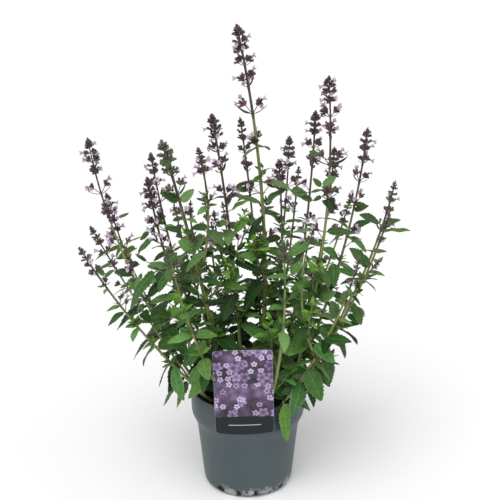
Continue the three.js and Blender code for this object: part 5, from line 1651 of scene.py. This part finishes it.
# Size of each spike's head and cymes, share of flowers open, and ripeness of its calyces.
VIGOUR = {
    "01": (1.15, 0.8, 1), "02": (1.1, 1, 1), "03": (0.7, 0.3, 0.9), "04": (1.1, 1, 1),
    "05": (0.95, 1, 1), "06": (0.95, 0.6, 1), "07": (0.85, 0.6, 0.8), "08": (0.65, 0.05, 0.35),
    "09": (0.5, 0, 0.3), "10": (0.9, 0.4, 0.8), "11": (0.9, 0.9, 1), "12": (0.6, 0.2, 0.6),
    "13": (0.95, 0.9, 0.9), "14": (0.75, 1, 0.95), "15": (0.7, 0.35, 0.7), "16": (0.75, 0.15, 0.6),
    "17": (0.8, 1, 0.7), "18": (1, 1, 0.9), "19": (1.2, 0.1, 0.25), "20": (0.6, 0, 0.5),
    "21": (0.6, 0, 0.6), "22": (0.5, 0, 0.6), "23": (1.25, 0, 0.25), "24": (0.55, 0, 0.4),
    "25": (0.7, 0.2, 0.5), "26": (0.95, 0, 0.2), "27": (0.95, 1, 0.95), "28": (0.6, 0, 0.6),
    "29": (0.5, 0, 0.4), "30": (0.8, 0.6, 0.8), "31": (0.6, 0.5, 0.8),
}
USUAL_VIGOUR = (0.8, 0.6, 0.8)
BARE_BELOW = ("08", "09")  # shoots with nothing in their three highest leaf axils
CYME_CHANCE = (0.7, 0.35)  # in the highest leaf axil and in the next
EMPTY_CHANCE = 0.2
# Side shoots are fewer low down at the plant's outside and high up, and shorter far out.
LOW = {"below": 215, "outside": 62, "gone": 0.8}
HIGH = {"above": 370, "gone": 0.55}
FAR = {"outside": 105, "share": 0.45}
DENSE = {"inside": 58, "below": 300, "extra": 5}  # where the leaves of side shoots are longer
SPRIG_YOUTH, YOUTH_ODDS = [0.0, 0.12, 0.45], [0.62, 0.26, 0.12]
PAIR_YOUTH = (1.0, 0.75, 0.4, 0.2, 0.1)  # of a young shoot's leaf pairs, from its tip down
TWIG_PATH, TWIG_SAG = column([0, 0.35, 0.7, 1]), column([0, -0.6, -0.5, 0]) * (0, 0, 1)
TWIG_R = (0.9, 0.8, 0.75, 0.7)
# Leaf pairs of a young tip, from its end down: place along it, share of full size, tilt.
TIP_LEVELS = [(0.98, 0.8, 30), (0.8, 1.0, 58), (0.55, 1.15, 66)]


def add_axil(bunch, each, k, side, room, owner, rng):
    """What grows in one leaf axil: a stalked cyme near the top of a flowering stem, or a side shoot."""
    at = each.frame(each.node_drop(k) - 2)
    turn = each.node_turn(k) + side * math.pi + rng.uniform(-0.3, 0.3)
    rank = k if each.young else k - each.whorls
    if each.name in BARE_BELOW and rank < 3:
        return
    if not each.young and rank < 2 and rng.random() < CYME_CHANCE[rank]:
        vigour, stalk = VIGOUR[each.name], rng.uniform(7, 13) * each.scale
        count, first = int(rng.integers(5, 9)), int(rng.integers(0, 4))
        add_cyme(bunch, at, turn, stalk, count, each.scale, vigour, rng, first)
        return
    long = min(SPRIG["longest"], SPRIG["first"] + SPRIG["step"] * rank) * rng.uniform(0.6, 1.15)
    away = math.hypot(at.point[0], at.point[1])
    if at.point[2] < LOW["below"] and away > LOW["outside"] and rng.random() < LOW["gone"]:
        return
    if at.point[2] > HIGH["above"] and rng.random() < HIGH["gone"]:
        return
    if away > FAR["outside"]:
        long *= FAR["share"]
    youth = rng.choice(SPRIG_YOUTH, p=YOUTH_ODDS)
    place = place_on(at, outward(at, turn), math.radians(rng.uniform(20, 44)), long, 0)
    levels = SPRIG_LEVELS[0 if long < 9 else 1 if long < 22 else 2]
    is_dense = away < DENSE["inside"] and at.point[2] < DENSE["below"]
    size = 8 + 0.6 * long + (DENSE["extra"] if is_dense else 0)
    add_sprig(bunch, room, owner, place, levels, size, youth, rng)


def make_leafy_stem(shoot, branches, owners, room, pieces, finishes):
    """One leafy stem with its branches: stems, leaf pairs, and what grows in the leaf axils."""
    bunch, rng = Bunch(), np.random.default_rng(900 + int(shoot.name))
    for each in [shoot, *branches]:
        owner = owners[each.name]
        purple = PURPLE_STEMS.get(each.name, 0.0) - (YOUNG_LESS if each.young else 0)
        add_stem(bunch, each, each.length, max(each.cut, 1.0), purple, rng.random())
        leaves, tips, cymes = pieces[each.name]
        for place, start, tone, youth in leaves:
            if start is not None:
                path = start + (place.root - start) * TWIG_PATH + TWIG_SAG
                add_thread(bunch, path, place.across, TWIG_R, tone)
            add_leaf(bunch, place, youth, rng, LEAF_WIDTH * 1.04, tone, 0.35)
        for place, size, youth, pairs in tips:
            add_sprig(bunch, room, owner, place, TIP_LEVELS[:pairs], size, youth, rng, 0.1)
        for at, turn, stalk, count in cymes:
            add_cyme(bunch, at, turn, stalk, count, 1.0, VIGOUR.get(each.name, USUAL_VIGOUR), rng, 1)
        for k, pair in each.leaves.items():
            youth = PAIR_YOUTH[k] if each.young else 0.0
            for place in pair:
                if place is not None:
                    add_leaf(bunch, place, youth, rng)
            for side in (0, 1):
                if not (each.young and k < 2 or rng.random() < EMPTY_CHANCE):
                    add_axil(bunch, each, k, side, room, owner, rng)
        if each.young:
            at = each.frame(1.0)
            place = place_on(at, unit(at.across), 0.15, 6, 0)
            add_sprig(bunch, room, owner, place, SPRIG_LEVELS[0], 11, 1.0, rng)
    return bunch.make("stem_" + shoot.name, finishes, "leafy_stem_" + shoot.name, "foliage")


def make_spike(shoot, finishes):
    """One flower spike: its square stem, the head, and whorl after whorl below it."""
    bunch, rng = Bunch(), np.random.default_rng(300 + int(shoot.name))
    vigour = VIGOUR[shoot.name]
    purple = SPIKE_PURPLE + PURPLE_STEMS.get(shoot.name, SPIKE_USUAL)
    add_stem(bunch, shoot, shoot.cut - SPIKE_GAP, 1.0, purple, rng.random())
    add_head(bunch, shoot, vigour, rng)
    for k in range(shoot.whorls):
        add_whorl(bunch, shoot, k, vigour, rng)
    return bunch.make("bloom_" + shoot.name, finishes, "flower_spike_" + shoot.name, "flower")


def set_stage():
    """A pale floor and soft light: a bright surround, a broad key from the upper left and a fill."""
    mesh = bpy.data.meshes.new("floor")
    mesh.from_pydata([(-20, -20, 0), (20, -20, 0), (20, 20, 0), (-20, 20, 0)], [], [(0, 1, 2, 3)])
    floor = bpy.data.objects.new("floor", mesh)
    bpy.context.collection.objects.link(floor)
    paper = Finish("pale_floor", Specular_IOR_Level=0.1)
    mesh.materials.append(paper.wear(Base_Color=(0.96, 0.96, 0.96), Roughness=0.9))
    world = bpy.data.worlds.new("studio")
    world.use_nodes = True
    colour, strength = world.node_tree.nodes["Background"].inputs[:2]
    colour.default_value, strength.default_value = (1, 1, 1, 1), 0.58
    bpy.context.scene.world = world
    for name, where, spread, strength in (
        ("key", (-0.36, -0.95, 1.5), 45, 1.75),
        ("fill", (0.9, -0.7, 0.75), 70, 0.35),
    ):
        lamp = bpy.data.objects.new(name, bpy.data.lights.new(name, "SUN"))
        lamp.data.angle, lamp.data.energy = math.radians(spread), strength
        lamp.location = where
        x, y, z = where
        lamp.rotation_euler = (math.atan2(math.hypot(x, y), z), 0, math.atan2(x, -y))
        bpy.context.collection.objects.link(lamp)
    bpy.context.scene.view_settings.view_transform = "Standard"


set_stage()
make_pot(pot_finish())
make_peat(peat_finish())
make_label(label_finish())
mains, branches, room = grow_plant()
shoots = {shoot.name: shoot for shoot in mains + branches}
owners = {name: i for i, name in enumerate(shoots)}
pieces = set_pieces(shoots, owners, room)
plant_finishes = [stem_finish(), leaf_finish(), calyx_finish(), petal_finish()]
for shoot in mains:
    own = [branch for branch in branches if branch.parent is shoot]
    make_leafy_stem(shoot, own, owners, room, pieces, plant_finishes)
for shoot in shoots.values():
    if not shoot.young:
        make_spike(shoot, plant_finishes)
